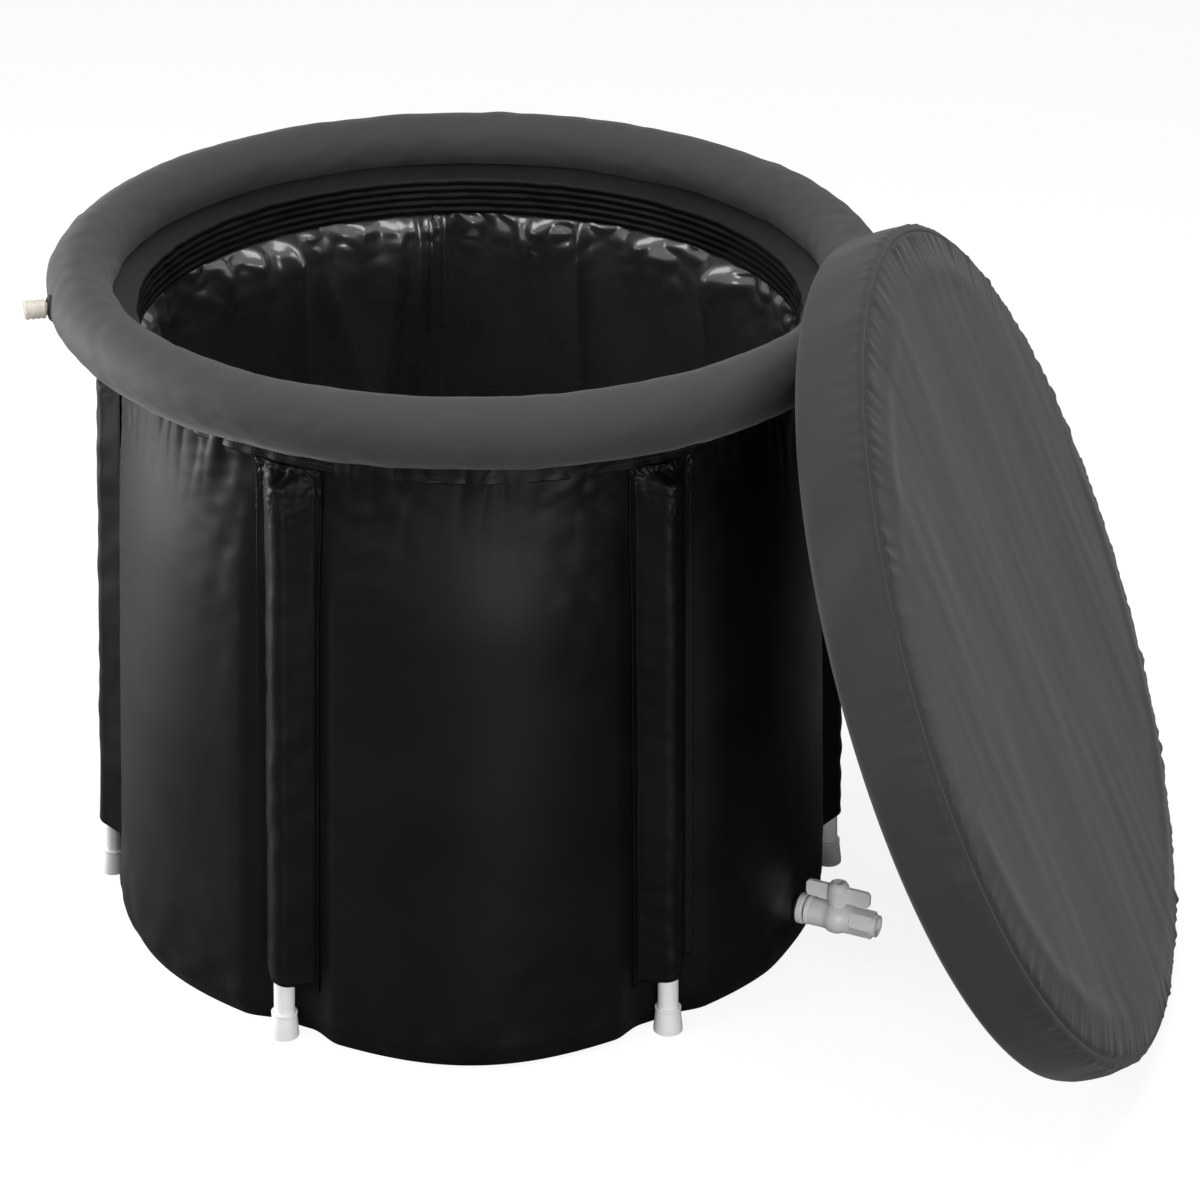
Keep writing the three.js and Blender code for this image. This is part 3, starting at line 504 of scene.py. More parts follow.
# Collar: an air tube in a sleeve of charcoal woven nylon, blown up tight on the wall's top edge.
# The sleeve's ends lap in one seam on the left, and a welt runs round underneath. The lid dents the right.
COLLAR_TUBE = 0.035
COLLAR_RADIUS = WALL_TOP_RADIUS + 0.009 + COLLAR_TUBE
COLLAR_HEIGHT = WALL_HEIGHT + 0.025
LID_NORMAL = np.array([0.8959, -0.2085, 0.3923])
LID_FACE = 0.6757
THREAD = 0.0016
FADE = 0.14


def woven_nylon(name, dark, middle, light):
    """Matt woven cloth. Its threads, about 0.4 mm apart, are drawn at 1.6 mm so that they show."""
    cloth, tree, shader, place = blank_material(name)
    flat_cloth = add_node(tree, "ShaderNodeUVMap", uv_map="flat_cloth").outputs["UV"]
    threads = [
        add_node(
            tree,
            "ShaderNodeTexWave",
            {"Vector": flat_cloth, "Scale": math.tau / 20 / THREAD, "Distortion": 0.6, "Detail": 1.0},
            bands_direction=way,
        ).outputs["Fac"]
        for way in ("X", "Y")
    ]
    weave = add_node(tree, "ShaderNodeMath", {0: threads[0], 1: threads[1]}, operation="MULTIPLY").outputs[0]
    fade = add_node(tree, "ShaderNodeTexNoise", {"Vector": place, "Scale": 1 / FADE, "Detail": 5.0})
    tint = add_node(tree, "ShaderNodeValToRGB", {"Fac": fade.outputs["Fac"]})
    tint.color_ramp.elements[0].position = 0.3
    tint.color_ramp.elements[0].color = linear(middle)
    tint.color_ramp.elements[1].position = 0.7
    tint.color_ramp.elements[1].color = linear(light)
    darker = add_node(
        tree, "ShaderNodeMix", {"Factor": weave, 6: linear(dark), 7: tint.outputs["Color"]}, data_type="RGBA"
    )
    bumps = add_node(tree, "ShaderNodeBump", {"Height": weave, "Strength": 0.16, "Distance": 0.0004})
    surface = {
        "Base Color": darker.outputs[2],
        "Normal": bumps.outputs["Normal"],
        "Roughness": 0.72,
        "Specular IOR Level": 0.2,
        "Sheen Weight": 0.12,
        "Sheen Roughness": 0.5,
    }
    set_inputs(tree, shader, surface)
    return cloth


collar_cloth = woven_nylon("charcoal_collar_nylon", "#37373a", "#3d3d3f", "#48484a")
SEAM_AZIMUTH = math.radians(-100)
SEAM_SLANT = math.radians(3.5)
SEAM_LAP = 0.0011
SEAM_GROOVE = 0.0009
WELT_ANGLE = math.radians(300)
WELT_RISE = 0.0010
COLLAR_INSET = 0.0004
ring = np.linspace(-math.pi, math.pi, 460, endpoint=False)
near_seam = np.linspace(SEAM_AZIMUTH - 0.1, SEAM_AZIMUTH + 0.1, 60)
azimuths = np.unique(np.concatenate([ring, near_seam]))[:, None]
section = np.linspace(0, math.tau, 96, endpoint=False)[None, :]
seam_line = SEAM_AZIMUTH - SEAM_SLANT * np.cos(section)
past_seam = (azimuths - seam_line) * COLLAR_RADIUS
lap = SEAM_LAP * smooth(past_seam, -0.0012, 0.0004) * np.exp(-np.clip(past_seam, 0, None) / 0.03)
stitched_in = -SEAM_GROOVE * np.exp(-((past_seam + 0.0016) / 0.0013) ** 2)


def collar_at(tube):
    """Points of the collar, for the tube's radius at each of them."""
    out = COLLAR_RADIUS + tube * np.cos(section)
    return on_ring(azimuths, out, COLLAR_HEIGHT + tube * np.sin(section))


round_points = collar_at(COLLAR_TUBE)
soft = 0.0005 * ripples(round_points, 0.12, 1.0, 31) + 0.00025 * ripples(round_points, 0.035, 1.0, 33)
welt = WELT_RISE * np.exp(-(((section - WELT_ANGLE) / 0.03) ** 2))
collar_points = collar_at(COLLAR_TUBE + lap + stitched_in + soft + welt - COLLAR_INSET)
past_lid = np.clip(collar_points @ LID_NORMAL - LID_FACE, 0, None)
collar_points = collar_points - past_lid[..., None] * LID_NORMAL
collar = cloth_mesh(
    "inflated_collar",
    collar_points[:, ::-1],
    collar_cloth,
    (math.tau * COLLAR_RADIUS, math.tau * COLLAR_TUBE),
    wrap_u=True,
    wrap_v=True,
)
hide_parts("inflatable_collar")


# Hem and inner band: the hem is a strip of coated cloth that closes the wall's top under the collar.
# The inner band is a strip of the same cloth with welded ridges, and holds the liner's gathers.
HEM_PROUD = 0.0026
HEM_WIDTH = 0.048
HEM_RISE = 0.043
HEM_FLARE = 0.027
BAND_RADIUS = 0.3506
BAND_BEND = 0.72
BAND_FLARE = 0.0295
RIDGE_PITCH = 0.0085
RIDGE_DEPTH = 0.0007
azimuths = np.linspace(0, math.tau, 720, endpoint=False)[:, None]
hem_way = np.linspace(0, 1, 26)[None, :]
hem_heights = HEM_BOTTOM - 0.002 + hem_way * HEM_RISE
hem_turn = smooth(hem_way, BAND_BEND, 1.0)
hem_plain = on_ring(azimuths, WALL_TOP_RADIUS, hem_heights)
hem_puckers = 0.0007 * ripples(hem_plain, 0.024, 0.3, 41) * (1 - hem_way)
hem_lip = 0.001 * np.exp(-hem_way / 0.08)
hem_out = wall_radius(hem_heights) + bulge(azimuths, hem_heights) + HEM_PROUD + HEM_FLARE * hem_turn
hem_out = hem_out + hem_puckers + hem_lip
hem = cloth_mesh(
    "collar_hem_cloth",
    on_ring(azimuths, hem_out, hem_heights),
    coated_cloth,
    (math.tau * WALL_TOP_RADIUS, HEM_WIDTH),
    wrap_u=True,
)
thicken(hem, CLOTH_THICK, -1)
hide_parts("collar_hem")

band_way = np.linspace(0, 1, 64)[None, :]
band_turn = smooth(band_way, BAND_BEND, 1.0)
band_heights = BAND_EDGE + np.minimum(band_way / BAND_BEND, 1) * 0.041 + band_turn * 0.011
ridge_wave = 1 + np.cos(math.tau * (band_heights - LINER_TOP) / RIDGE_PITCH)
ridges = RIDGE_DEPTH * ridge_wave * (band_way < BAND_BEND)
band_plain = on_ring(azimuths, BAND_RADIUS, band_heights)
kinks = 0.0007 * np.abs(ripples(band_plain, 0.07, 1.2, 43)) + 0.0002 * ripples(band_plain, 0.03, 1.0, 45)
band_radius = BAND_RADIUS - ridges - kinks * (1 - smooth(band_way, 0.7, 0.9)) + BAND_FLARE * band_turn
band = cloth_mesh(
    "inner_band_vinyl",
    on_ring(azimuths, band_radius, band_heights)[::-1],
    coated_cloth,
    (math.tau * BAND_RADIUS, 0.062),
    wrap_u=True,
)
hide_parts("inner_top_band")


# Legs: six white PVC tubes, each in a moulded PVC foot with a stepped rim. They lean with the wall.
# The tops stand in the cloth pockets, under plain push-in caps.
LEG_RADIUS = 0.011
LEG_WALL = 0.0025
LEG_OUT = 0.0145
LEG_BOTTOM = 0.0054
LEG_TOP = 0.6225
FOOT_HEIGHT = 0.028
FOOT_BASE = 0.0155
FOOT_RIM = 0.0139
FOOT_SOLE = -0.0009
FOOT_FLOOR = 0.005
AXIS_GAP = 0.0004
LATHE_STEPS = 48
EDGE_ANGLE = math.radians(35)
lean = math.atan(WALL_LEAN)

# White PVC is injection moulded or extruded: a bright neutral white, a satin gloss and slight flow ripples.
FLOW_RIPPLE = 0.012
white_pvc, tree, shader, place = blank_material("moulded_white_pvc")
flow = add_node(tree, "ShaderNodeTexNoise", {"Vector": place, "Scale": 1 / FLOW_RIPPLE, "Detail": 3.0})
cast = add_node(tree, "ShaderNodeValToRGB", {"Fac": flow.outputs["Fac"]})
cast.color_ramp.elements[0].color = linear("#f1f1f2")
cast.color_ramp.elements[1].color = linear("#fafafa")
skin = add_node(tree, "ShaderNodeBump", {"Height": flow.outputs["Fac"], "Strength": 0.05, "Distance": 0.001})
surface = {
    "Base Color": cast.outputs["Color"],
    "Normal": skin.outputs["Normal"],
    "Roughness": 0.36,
    "IOR": 1.53,
}
set_inputs(tree, shader, surface)


def leg_frame(azimuth):
    """Takes points beside a leg, (along the wall, out from it, up it), to the tub's frame."""
    return (
        Matrix.Rotation(azimuth, 4, "Z")
        @ Matrix.Translation((0, -WALL_FOOT_RADIUS, 0))
        @ Matrix.Rotation(-lean, 4, "X")
        @ Matrix(((1, 0, 0, 0), (0, -1, 0, 0), (0, 0, 1, 0), (0, 0, 0, 1)))
    )


def turned(outline, steps=LATHE_STEPS):
    """Points and faces of a closed outline of (radius, height), turned about Z."""
    count = len(outline)
    points = []
    faces = []
    for i in range(steps):
        angle = math.tau * i / steps
        points += [(r * math.cos(angle), r * math.sin(angle), z) for r, z in outline]
        ahead = (i + 1) % steps
        for j in range(count):
            k = (j + 1) % count
            faces.append((i * count + j, ahead * count + j, ahead * count + k, i * count + k))
    return points, faces


def moulded(name, solids, material, edge, body="tub"):
    """One hard piece from (points, faces, matrix) solids, with rounded edges, riding on a body."""
    mesh = bpy.data.meshes.new(name)
    shape = bmesh.new()
    for points, faces, matrix in solids:
        corners = [shape.verts.new(matrix @ Vector(p)) for p in points]
        for face in faces:
            shape.faces.new([corners[i] for i in face])
    bmesh.ops.remove_doubles(shape, verts=shape.verts, dist=1e-6)
    bmesh.ops.recalc_face_normals(shape, faces=shape.faces)
    shape.to_mesh(mesh)
    shape.free()
    mesh.shade_smooth()
    mesh.set_sharp_from_angle(angle=EDGE_ANGLE)
    mesh.materials.append(material)
    piece = bpy.data.objects.new(name, mesh)
    scene.collection.objects.link(piece)
    rounding = piece.modifiers.new("rounded_edges", "BEVEL")
    rounding.width = edge
    rounding.segments = 3
    rounding.limit_method = "ANGLE"
    rounding.angle_limit = EDGE_ANGLE
    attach(piece, body)
    return piece


leg_bore = LEG_RADIUS - LEG_WALL
foot_bore = LEG_RADIUS + 0.0003
tube_outline = [
    (leg_bore, LEG_BOTTOM),
    (LEG_RADIUS, LEG_BOTTOM),
    (LEG_RADIUS, LEG_TOP),
    (leg_bore, LEG_TOP),
]
foot_outline = [
    (AXIS_GAP, FOOT_SOLE),
    (FOOT_BASE, FOOT_SOLE),
    (FOOT_BASE, 0.0025),
    (FOOT_RIM - 0.0004, FOOT_HEIGHT - 0.0052),
    (FOOT_RIM - 0.0007, FOOT_HEIGHT - 0.0034),
    (FOOT_RIM, FOOT_HEIGHT - 0.0030),
    (FOOT_RIM, FOOT_HEIGHT),
    (foot_bore, FOOT_HEIGHT),
    (foot_bore, FOOT_FLOOR),
    (AXIS_GAP, FOOT_FLOOR),
]
for number, azimuth in enumerate(leg_azimuths, start=1):
    stand = leg_frame(azimuth) @ Matrix.Translation((0, LEG_OUT, 0))
    tube_piece = moulded(f"leg_tube_pvc_{number}", [(*turned(tube_outline), stand)], white_pvc, 0.0004)
    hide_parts(f"leg_tube_{number}")
    foot_piece = moulded(f"leg_foot_pvc_{number}", [(*turned(foot_outline), stand)], white_pvc, 0.0006)
    for corner in foot_piece.data.vertices:
        corner.co.z = max(corner.co.z, 0.0)
    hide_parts(f"leg_foot_{number}")
    paint_solids([f"leg_top_cap_{number}"], white_pvc)


# Leg pockets: long strips of coated cloth sewn down both sides over each leg, and gathered shut at the top.
# The cloth stretches over the tube like a tent, and the bottom is left open.
POCKET_BOTTOM = 0.066
POCKET_TOP = 0.6436
POCKET_HALF = 0.028
POCKET_EDGE = 0.0375
POCKET_THICK = 0.001
POCKET_LIFT = 0.0011
POCKET_GATHER = 0.0016
NOTCH_DEPTH = 0.010
MOUTH_SLANT = 0.010
ARCH = LEG_RADIUS + 0.0016
ARCH_START = math.radians(30)
SEAM_COLUMN = 7


def tent(across):
    """How far the pocket stands out from the wall at a distance across it."""
    side = np.abs(across)
    shoulder = ARCH * math.cos(ARCH_START)
    crown = LEG_OUT + np.sqrt(np.clip(ARCH**2 - side**2, 0, None))
    eaves = LEG_OUT + ARCH * math.sin(ARCH_START)
    slope = eaves * (1 - np.clip((side - shoulder) / (POCKET_HALF - shoulder), 0, 1))
    return np.where(side < shoulder, crown, slope)


left_margin = np.linspace(-POCKET_EDGE, -POCKET_HALF, 12)
over_leg = np.linspace(-POCKET_HALF, POCKET_HALF, 56)[1:-1]
right_margin = np.linspace(POCKET_HALF, POCKET_EDGE, 12)
columns = np.concatenate([left_margin, over_leg, right_margin])[:, None]
share = np.linspace(0, 1, 180)[None, :]
rows = POCKET_BOTTOM + (POCKET_TOP - POCKET_BOTTOM) * (1 - (1 - share) ** 1.3)
across, up = np.broadcast_arrays(columns, rows)
pocket_seams = []
for number, azimuth in enumerate(leg_azimuths, start=1):
    seat = np.stack([across + number, up, 0 * up], axis=-1)
    closing = smooth(up, POCKET_TOP - 0.019, POCKET_TOP - 0.001)
    near_top = np.exp(-(POCKET_TOP - up) / 0.03)
    gather = POCKET_GATHER * np.abs(ripples(seat, 0.012, 0.0, 50 + number)) * near_top
    notch = NOTCH_DEPTH * np.exp(-(((across + 0.002) / 0.006) ** 2)) * closing * (1 - closing) * 4
    stretch = 0.0004 * ripples(seat, 0.03, 0.0, 60 + number) + 0.0005 * ripples(seat, 0.16, 0.0, 70 + number)
    beside = azimuth + across / WALL_FOOT_RADIUS
    wall_face = bulge(beside, up) + swell(beside, up) - across**2 / (2 * WALL_FOOT_RADIUS)
    margin = smooth(np.abs(across), POCKET_HALF - 0.003, POCKET_HALF + 0.002)
    rolled = 0.0006 * np.exp(-(((np.abs(across) - POCKET_EDGE) / 0.0022) ** 2))
    crease = -0.0008 * np.exp(-(((np.abs(across) - POCKET_HALF - 0.0022) / 0.0014) ** 2))
    strip = tent(across) * (1 - 0.86 * closing) - notch + stretch * (1 - margin)
    out = np.maximum(strip, wall_face) + gather + POCKET_LIFT + rolled + crease
    slant = -MOUTH_SLANT if azimuth < 0 else MOUTH_SLANT
    mouth = slant * (across / POCKET_EDGE) * np.exp(-(up - POCKET_BOTTOM) / 0.02)
    matrix = np.array(leg_frame(azimuth))
    local = np.stack([across, np.maximum(out, 0.0012), up + mouth], axis=-1)
    laid = local @ matrix[:3, :3].T + matrix[:3, 3]
    pocket_seams += [laid[SEAM_COLUMN], laid[-1 - SEAM_COLUMN]]
    pocket_length = POCKET_TOP - POCKET_BOTTOM
    pocket = cloth_mesh(f"leg_pocket_cloth_{number}", laid, coated_cloth, (0.095, pocket_length))
    pocket.data.flip_normals()
    thicken(pocket, POCKET_THICK, -1)
    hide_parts(f"leg_pocket_{number}")


# Sewing thread: rows of single stitches down both sides of each pocket and round the hem, placed along a line
# by geometry nodes, in dull black polyester a little thicker than the real thread so that it shows.
STITCH_PITCH = 0.0046
STITCH_LENGTH = 0.0036
STITCH_THICK = 0.0010
STRAND = 0.001
HEM_SEAM_ROW = 4
thread_black, tree, shader, place = blank_material("black_polyester_thread")
twist = add_node(tree, "ShaderNodeTexNoise", {"Vector": place, "Scale": 1 / STRAND, "Detail": 2.0})
strands = add_node(
    tree, "ShaderNodeBump", {"Height": twist.outputs["Fac"], "Strength": 0.3, "Distance": 0.0003}
)
surface = {
    "Normal": strands.outputs["Normal"],
    "Base Color": linear("#1d1d1e"),
    "Roughness": 0.8,
}
set_inputs(tree, shader, surface)

sewing = bpy.data.node_groups.new("sewing", "GeometryNodeTree")
sewing.interface.new_socket("Line", in_out="INPUT", socket_type="NodeSocketGeometry")
for label in ("Pitch", "Length", "Thickness"):
    sewing.interface.new_socket(label, in_out="INPUT", socket_type="NodeSocketFloat")
sewing.interface.new_socket("Thread", in_out="INPUT", socket_type="NodeSocketMaterial")
sewing.interface.new_socket("Stitches", in_out="OUTPUT", socket_type="NodeSocketGeometry")
given = add_node(sewing, "NodeGroupInput").outputs
line = add_node(sewing, "GeometryNodeMeshToCurve", {"Mesh": given["Line"]}).outputs["Curve"]
places = add_node(
    sewing, "GeometryNodeCurveToPoints", {"Curve": line, "Length": given["Pitch"]}, mode="LENGTH"
).outputs
bead = add_node(
    sewing, "GeometryNodeMeshUVSphere", {"Segments": 6, "Rings": 4, "Radius": 0.5}
).outputs["Mesh"]
shape_of = add_node(
    sewing, "ShaderNodeCombineXYZ", {"X": given["Thickness"], "Y": given["Thickness"], "Z": given["Length"]}
).outputs[0]
copies = add_node(
    sewing,
    "GeometryNodeInstanceOnPoints",
    {"Points": places["Points"], "Instance": bead, "Rotation": places["Rotation"], "Scale": shape_of},
).outputs[0]
solid = add_node(sewing, "GeometryNodeRealizeInstances", {"Geometry": copies}).outputs[0]
coloured = add_node(
    sewing, "GeometryNodeSetMaterial", {"Geometry": solid, "Material": given["Thread"]}
).outputs[0]
add_node(sewing, "NodeGroupOutput", {"Stitches": coloured})


def sew(name, lines, closed):
    """Rows of stitches along lines of points on the tub."""
    points = [tuple(point) for row in lines for point in row]
    edges = []
    start = 0
    for row in lines:
        edges += [(start + i, start + i + 1) for i in range(len(row) - 1)]
        if closed:
            edges.append((start + len(row) - 1, start))
        start += len(row)
    path = bpy.data.meshes.new(name + "_path")
    path.from_pydata(points, edges, [])
    guide = bpy.data.objects.new(name + "_path", path)
    scene.collection.objects.link(guide)
    sewn = guide.modifiers.new("sewing", "NODES")
    sewn.node_group = sewing
    values = {
        "Pitch": STITCH_PITCH,
        "Length": STITCH_LENGTH,
        "Thickness": STITCH_THICK,
        "Thread": thread_black,
    }
    for item in sewing.interface.items_tree:
        if item.in_out == "INPUT" and item.name in values:
            sewn[item.identifier] = values[item.name]
    ready = guide.evaluated_get(bpy.context.evaluated_depsgraph_get())
    mesh = bpy.data.meshes.new_from_object(ready)
    bpy.data.objects.remove(guide)
    mesh.shade_smooth()
    stitches = bpy.data.objects.new(name, mesh)
    scene.collection.objects.link(stitches)
    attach(stitches, "tub")


sew("pocket_stitches", pocket_seams, False)
hem_seam = on_ring(azimuths[:, 0], hem_out[:, HEM_SEAM_ROW] + 0.0002, hem_heights[0, HEM_SEAM_ROW])
sew("hem_stitches", [hem_seam], True)


# Drain: a white PVC fitting clamped through the wall between rubber gaskets, with a ball valve screwed on it.
# The valve has a round belly, a wing handle on an upright stem and a hexagon end with an inner thread.
DRAIN_RADIUS = float(wall_radius(DRAIN_HEIGHT) + bulge(DRAIN_AZIMUTH, DRAIN_HEIGHT))
PIPE_BORE = 0.0065
PIPE_RADIUS = 0.0100
PIPE_ENDS = (-0.0273, 0.0274)
FLANGE_RADIUS = 0.0170
FLANGE_FACES = (0.0036, 0.0106)
VALVE_START = 0.0127
BALL_CENTRE = 0.047162
CHAMBER_END = 0.064824
HEX_END = 0.089624
MOUTH_END = 0.094624
drain_frame = (
    Matrix.Rotation(DRAIN_AZIMUTH, 4, "Z")
    @ Matrix.Translation((0, -DRAIN_RADIUS, DRAIN_HEIGHT))
    @ Matrix.Rotation(math.pi / 2, 4, "X")
)
stem_frame = drain_frame @ Matrix.Translation((0, 0, BALL_CENTRE)) @ Matrix.Rotation(-math.pi / 2, 4, "X")
bulkhead_outline = [
    (PIPE_BORE, PIPE_ENDS[0]),
    (PIPE_RADIUS, PIPE_ENDS[0]),
    (PIPE_RADIUS, FLANGE_FACES[0]),
    (FLANGE_RADIUS, FLANGE_FACES[0]),
    (FLANGE_RADIUS, FLANGE_FACES[1]),
    (PIPE_RADIUS, FLANGE_FACES[1]),
    (PIPE_RADIUS, PIPE_ENDS[1]),
    (PIPE_BORE, PIPE_ENDS[1]),
]
bulkhead = moulded("drain_fitting", [(*turned(bulkhead_outline), drain_frame)], white_pvc, 0.0008)
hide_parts("drain_bulkhead")

SOCKET_RADIUS = 0.0156
BELLY_RADIUS = 0.0185
STEM_BORE = 0.0045
limit = math.acos(SOCKET_RADIUS / BELLY_RADIUS)
belly_angles = np.linspace(-limit, limit, 17)
belly = [(BELLY_RADIUS * math.cos(a), BALL_CENTRE + BELLY_RADIUS * math.sin(a)) for a in belly_angles]
body_outline = [
    (0.0104, VALVE_START),
    (SOCKET_RADIUS + 0.0006, VALVE_START),
    (SOCKET_RADIUS + 0.0006, VALVE_START + 0.0035),
    (SOCKET_RADIUS - 0.0002, VALVE_START + 0.0042),
    (SOCKET_RADIUS - 0.0002, VALVE_START + 0.0185),
    *belly,
    (SOCKET_RADIUS, CHAMBER_END),
    (0.0116, CHAMBER_END),
    (0.0116, 0.0347),
    (0.0104, 0.0340),
]
neck_outline = [
    (STEM_BORE, 0.0150),
    (0.0085, 0.0150),
    (0.0085, 0.0190),
    (0.0078, 0.0193),
    (STEM_BORE, 0.0193),
]
valve = moulded(
    "valve_body_pvc",
    [(*turned(body_outline), drain_frame), (*turned(neck_outline), stem_frame)],
    white_pvc,
    0.0005,
)
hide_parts("valve_body")

# The hub's top dips to an oval facet, and the two wings are thick plates with rounded ends.
HUB_BOTTOM = 0.0196
HUB_RADIUS = 0.0120
hub_outline = [
    (STEM_BORE, HUB_BOTTOM),
    (HUB_RADIUS, HUB_BOTTOM),
    (HUB_RADIUS, HUB_BOTTOM + 0.0150),
    (0.0112, HUB_BOTTOM + 0.0190),
    (0.0092, HUB_BOTTOM + 0.0222),
    (0.0070, HUB_BOTTOM + 0.0236),
    (0.0064, HUB_BOTTOM + 0.0240),
    (0.0054, HUB_BOTTOM + 0.0234),
    (AXIS_GAP, HUB_BOTTOM + 0.0230),
    (AXIS_GAP, HUB_BOTTOM + 0.0150),
    (STEM_BORE, HUB_BOTTOM + 0.0150),
]
WING_LENGTH = 0.037
WING_THICK = 0.005
WING_ROUND = 0.005
wing_low = HUB_BOTTOM + 0.0003
wing_high = HUB_BOTTOM + 0.0190
wing_line = []
for middle, start in (
    ((WING_LENGTH - WING_ROUND, wing_low + WING_ROUND), -90),
    ((WING_LENGTH - WING_ROUND, wing_high - WING_ROUND), 0),
    ((-WING_LENGTH + WING_ROUND, wing_high - WING_ROUND), 90),
    ((-WING_LENGTH + WING_ROUND, wing_low + WING_ROUND), 180),
):
    for step in range(9):
        angle = math.radians(start + 90 * step / 8)
        wing_line.append((middle[0] + WING_ROUND * math.cos(angle), middle[1] + WING_ROUND * math.sin(angle)))
wing_points = [(side * WING_THICK / 2, along, high) for side in (-1, 1) for along, high in wing_line]
count = len(wing_line)
wing_faces = [tuple(range(count)), tuple(range(2 * count - 1, count - 1, -1))]
wing_faces += [(i, (i + 1) % count, count + (i + 1) % count, count + i) for i in range(count)]
handle = moulded(
    "valve_handle_pvc",
    [(*turned(hub_outline), stem_frame), (wing_points, wing_faces, stem_frame)],
    white_pvc,
    0.0009,
    body="drain_handle",
)
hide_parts("valve_handle")

HEX_FLATS = 0.027
HEX_START = 0.065124
THREAD_PITCH = 0.0024
THREAD_DEPTH = 0.0009
THREAD_TURNS = 6
MOUTH_BORE = 0.0095
thread = []
for turn_number in range(THREAD_TURNS):
    at = MOUTH_END - 0.001 - THREAD_PITCH * turn_number
    thread += [(MOUTH_BORE, at), (MOUTH_BORE - THREAD_DEPTH, at - THREAD_PITCH / 2)]
mouth_outline = [
    (PIPE_BORE, 0.0600),
    (0.0113, 0.0600),
    (0.0113, HEX_END - 0.0005),
    (0.0122, HEX_END - 0.0005),
    (0.0122, MOUTH_END),
    (MOUTH_BORE + 0.0006, MOUTH_END),
    *thread,
    (PIPE_BORE, MOUTH_END - 0.0165),
]
hex_corner = HEX_FLATS / 2 / math.cos(math.pi / 6)
hex_outline = [(0.0105, HEX_START), (hex_corner, HEX_START), (hex_corner, HEX_END), (0.0105, HEX_END)]
end_piece = moulded(
    "valve_end_pvc",
    [(*turned(mouth_outline), drain_frame), (*turned(hex_outline, 6), drain_frame)],
    white_pvc,
    0.0005,
)
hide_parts("valve_end_piece")
paint_solids(["drain_nut", "valve_seat_inner", "valve_seat_outer", "valve_ball", "valve_stem"], white_pvc)

# Black rubber is moulded EPDM: dull and slightly dusty.
DUST_PATCH = 0.004
black_rubber, tree, shader, place = blank_material("moulded_epdm_rubber")
dust = add_node(tree, "ShaderNodeTexNoise", {"Vector": place, "Scale": 1 / DUST_PATCH, "Detail": 4.0})
dusty = add_node(tree, "ShaderNodeValToRGB", {"Fac": dust.outputs["Fac"]})
dusty.color_ramp.elements[0].color = linear("#161617")
dusty.color_ramp.elements[1].color = linear("#242425")
surface = {
    "Base Color": dusty.outputs["Color"],
    "Roughness": 0.75,
    "Specular IOR Level": 0.3,
}
set_inputs(tree, shader, surface)
rubber_solids = ["drain_outer_gasket", "drain_inner_gasket", "drain_o_ring", "stem_o_ring", "air_valve_flap"]
paint_solids(rubber_solids, black_rubber)


# Air valve: a round welded patch on the collar's side, a clear vinyl neck and a screw cap with grip ridges.
# The vinyl has yellowed slightly.
AIR_AZIMUTH = math.radians(-76)
air_frame = (
    Matrix.Rotation(AIR_AZIMUTH, 4, "Z")
    @ Matrix.Translation((0, -COLLAR_RADIUS, COLLAR_HEIGHT))
    @ Matrix.Rotation(math.pi / 2, 4, "X")
)
HAZE_PATCH = 0.005
clear_vinyl, tree, shader, place = blank_material("yellowed_clear_vinyl")
haze = add_node(tree, "ShaderNodeTexNoise", {"Vector": place, "Scale": 1 / HAZE_PATCH, "Detail": 3.0})
aged = add_node(tree, "ShaderNodeValToRGB", {"Fac": haze.outputs["Fac"]})
aged.color_ramp.elements[0].color = linear("#d6cdb8")
aged.color_ramp.elements[1].color = linear("#f0ede4")
surface = {
    "Base Color": aged.outputs["Color"],
    "Roughness": 0.22,
    "IOR": 1.53,
    "Transmission Weight": 0.25,
}
set_inputs(tree, shader, surface)
NECK_BORE = 0.0046
NECK_TOP = 0.0510
NECK_PITCH = 0.0023
neck_outline = [(NECK_BORE, 0.024), (0.0070, 0.024)]
for i in range(6):
    neck_outline += [(0.0066, 0.037 + NECK_PITCH * i), (0.0072, 0.0381 + NECK_PITCH * i)]
neck_outline += [(0.0066, NECK_TOP), (NECK_BORE, NECK_TOP)]
neck = moulded("air_neck_vinyl", [(*turned(neck_outline), air_frame)], clear_vinyl, 0.0002)
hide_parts("air_valve_neck")

PATCH_RADIUS = 0.014
WELD_PITCH = 0.0022
turns = np.linspace(0, math.tau, 64, endpoint=False)[:, None]
reach = np.linspace(0.0073, PATCH_RADIUS, 14)[None, :]
patch_x = reach * np.cos(turns)
patch_y = reach * np.sin(turns)
welded = 0.0016 * (1 - smooth(reach, PATCH_RADIUS - WELD_PITCH, PATCH_RADIUS))
welded = welded + 0.0004 * np.cos(math.tau * reach / WELD_PITCH)
patch_z = np.sqrt((COLLAR_TUBE + welded) ** 2 - patch_y**2) - patch_x**2 / (2 * (COLLAR_RADIUS + COLLAR_TUBE))
patch_matrix = np.array(air_frame)
patch_points = np.stack([patch_x, patch_y, patch_z], axis=-1) @ patch_matrix[:3, :3].T + patch_matrix[:3, 3]
patch = cloth_mesh("air_patch_rubber", patch_points[::-1], black_rubber, (0.066, 0.007), wrap_u=True)
thicken(patch, 0.0012, -1)
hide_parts("air_valve_patch")

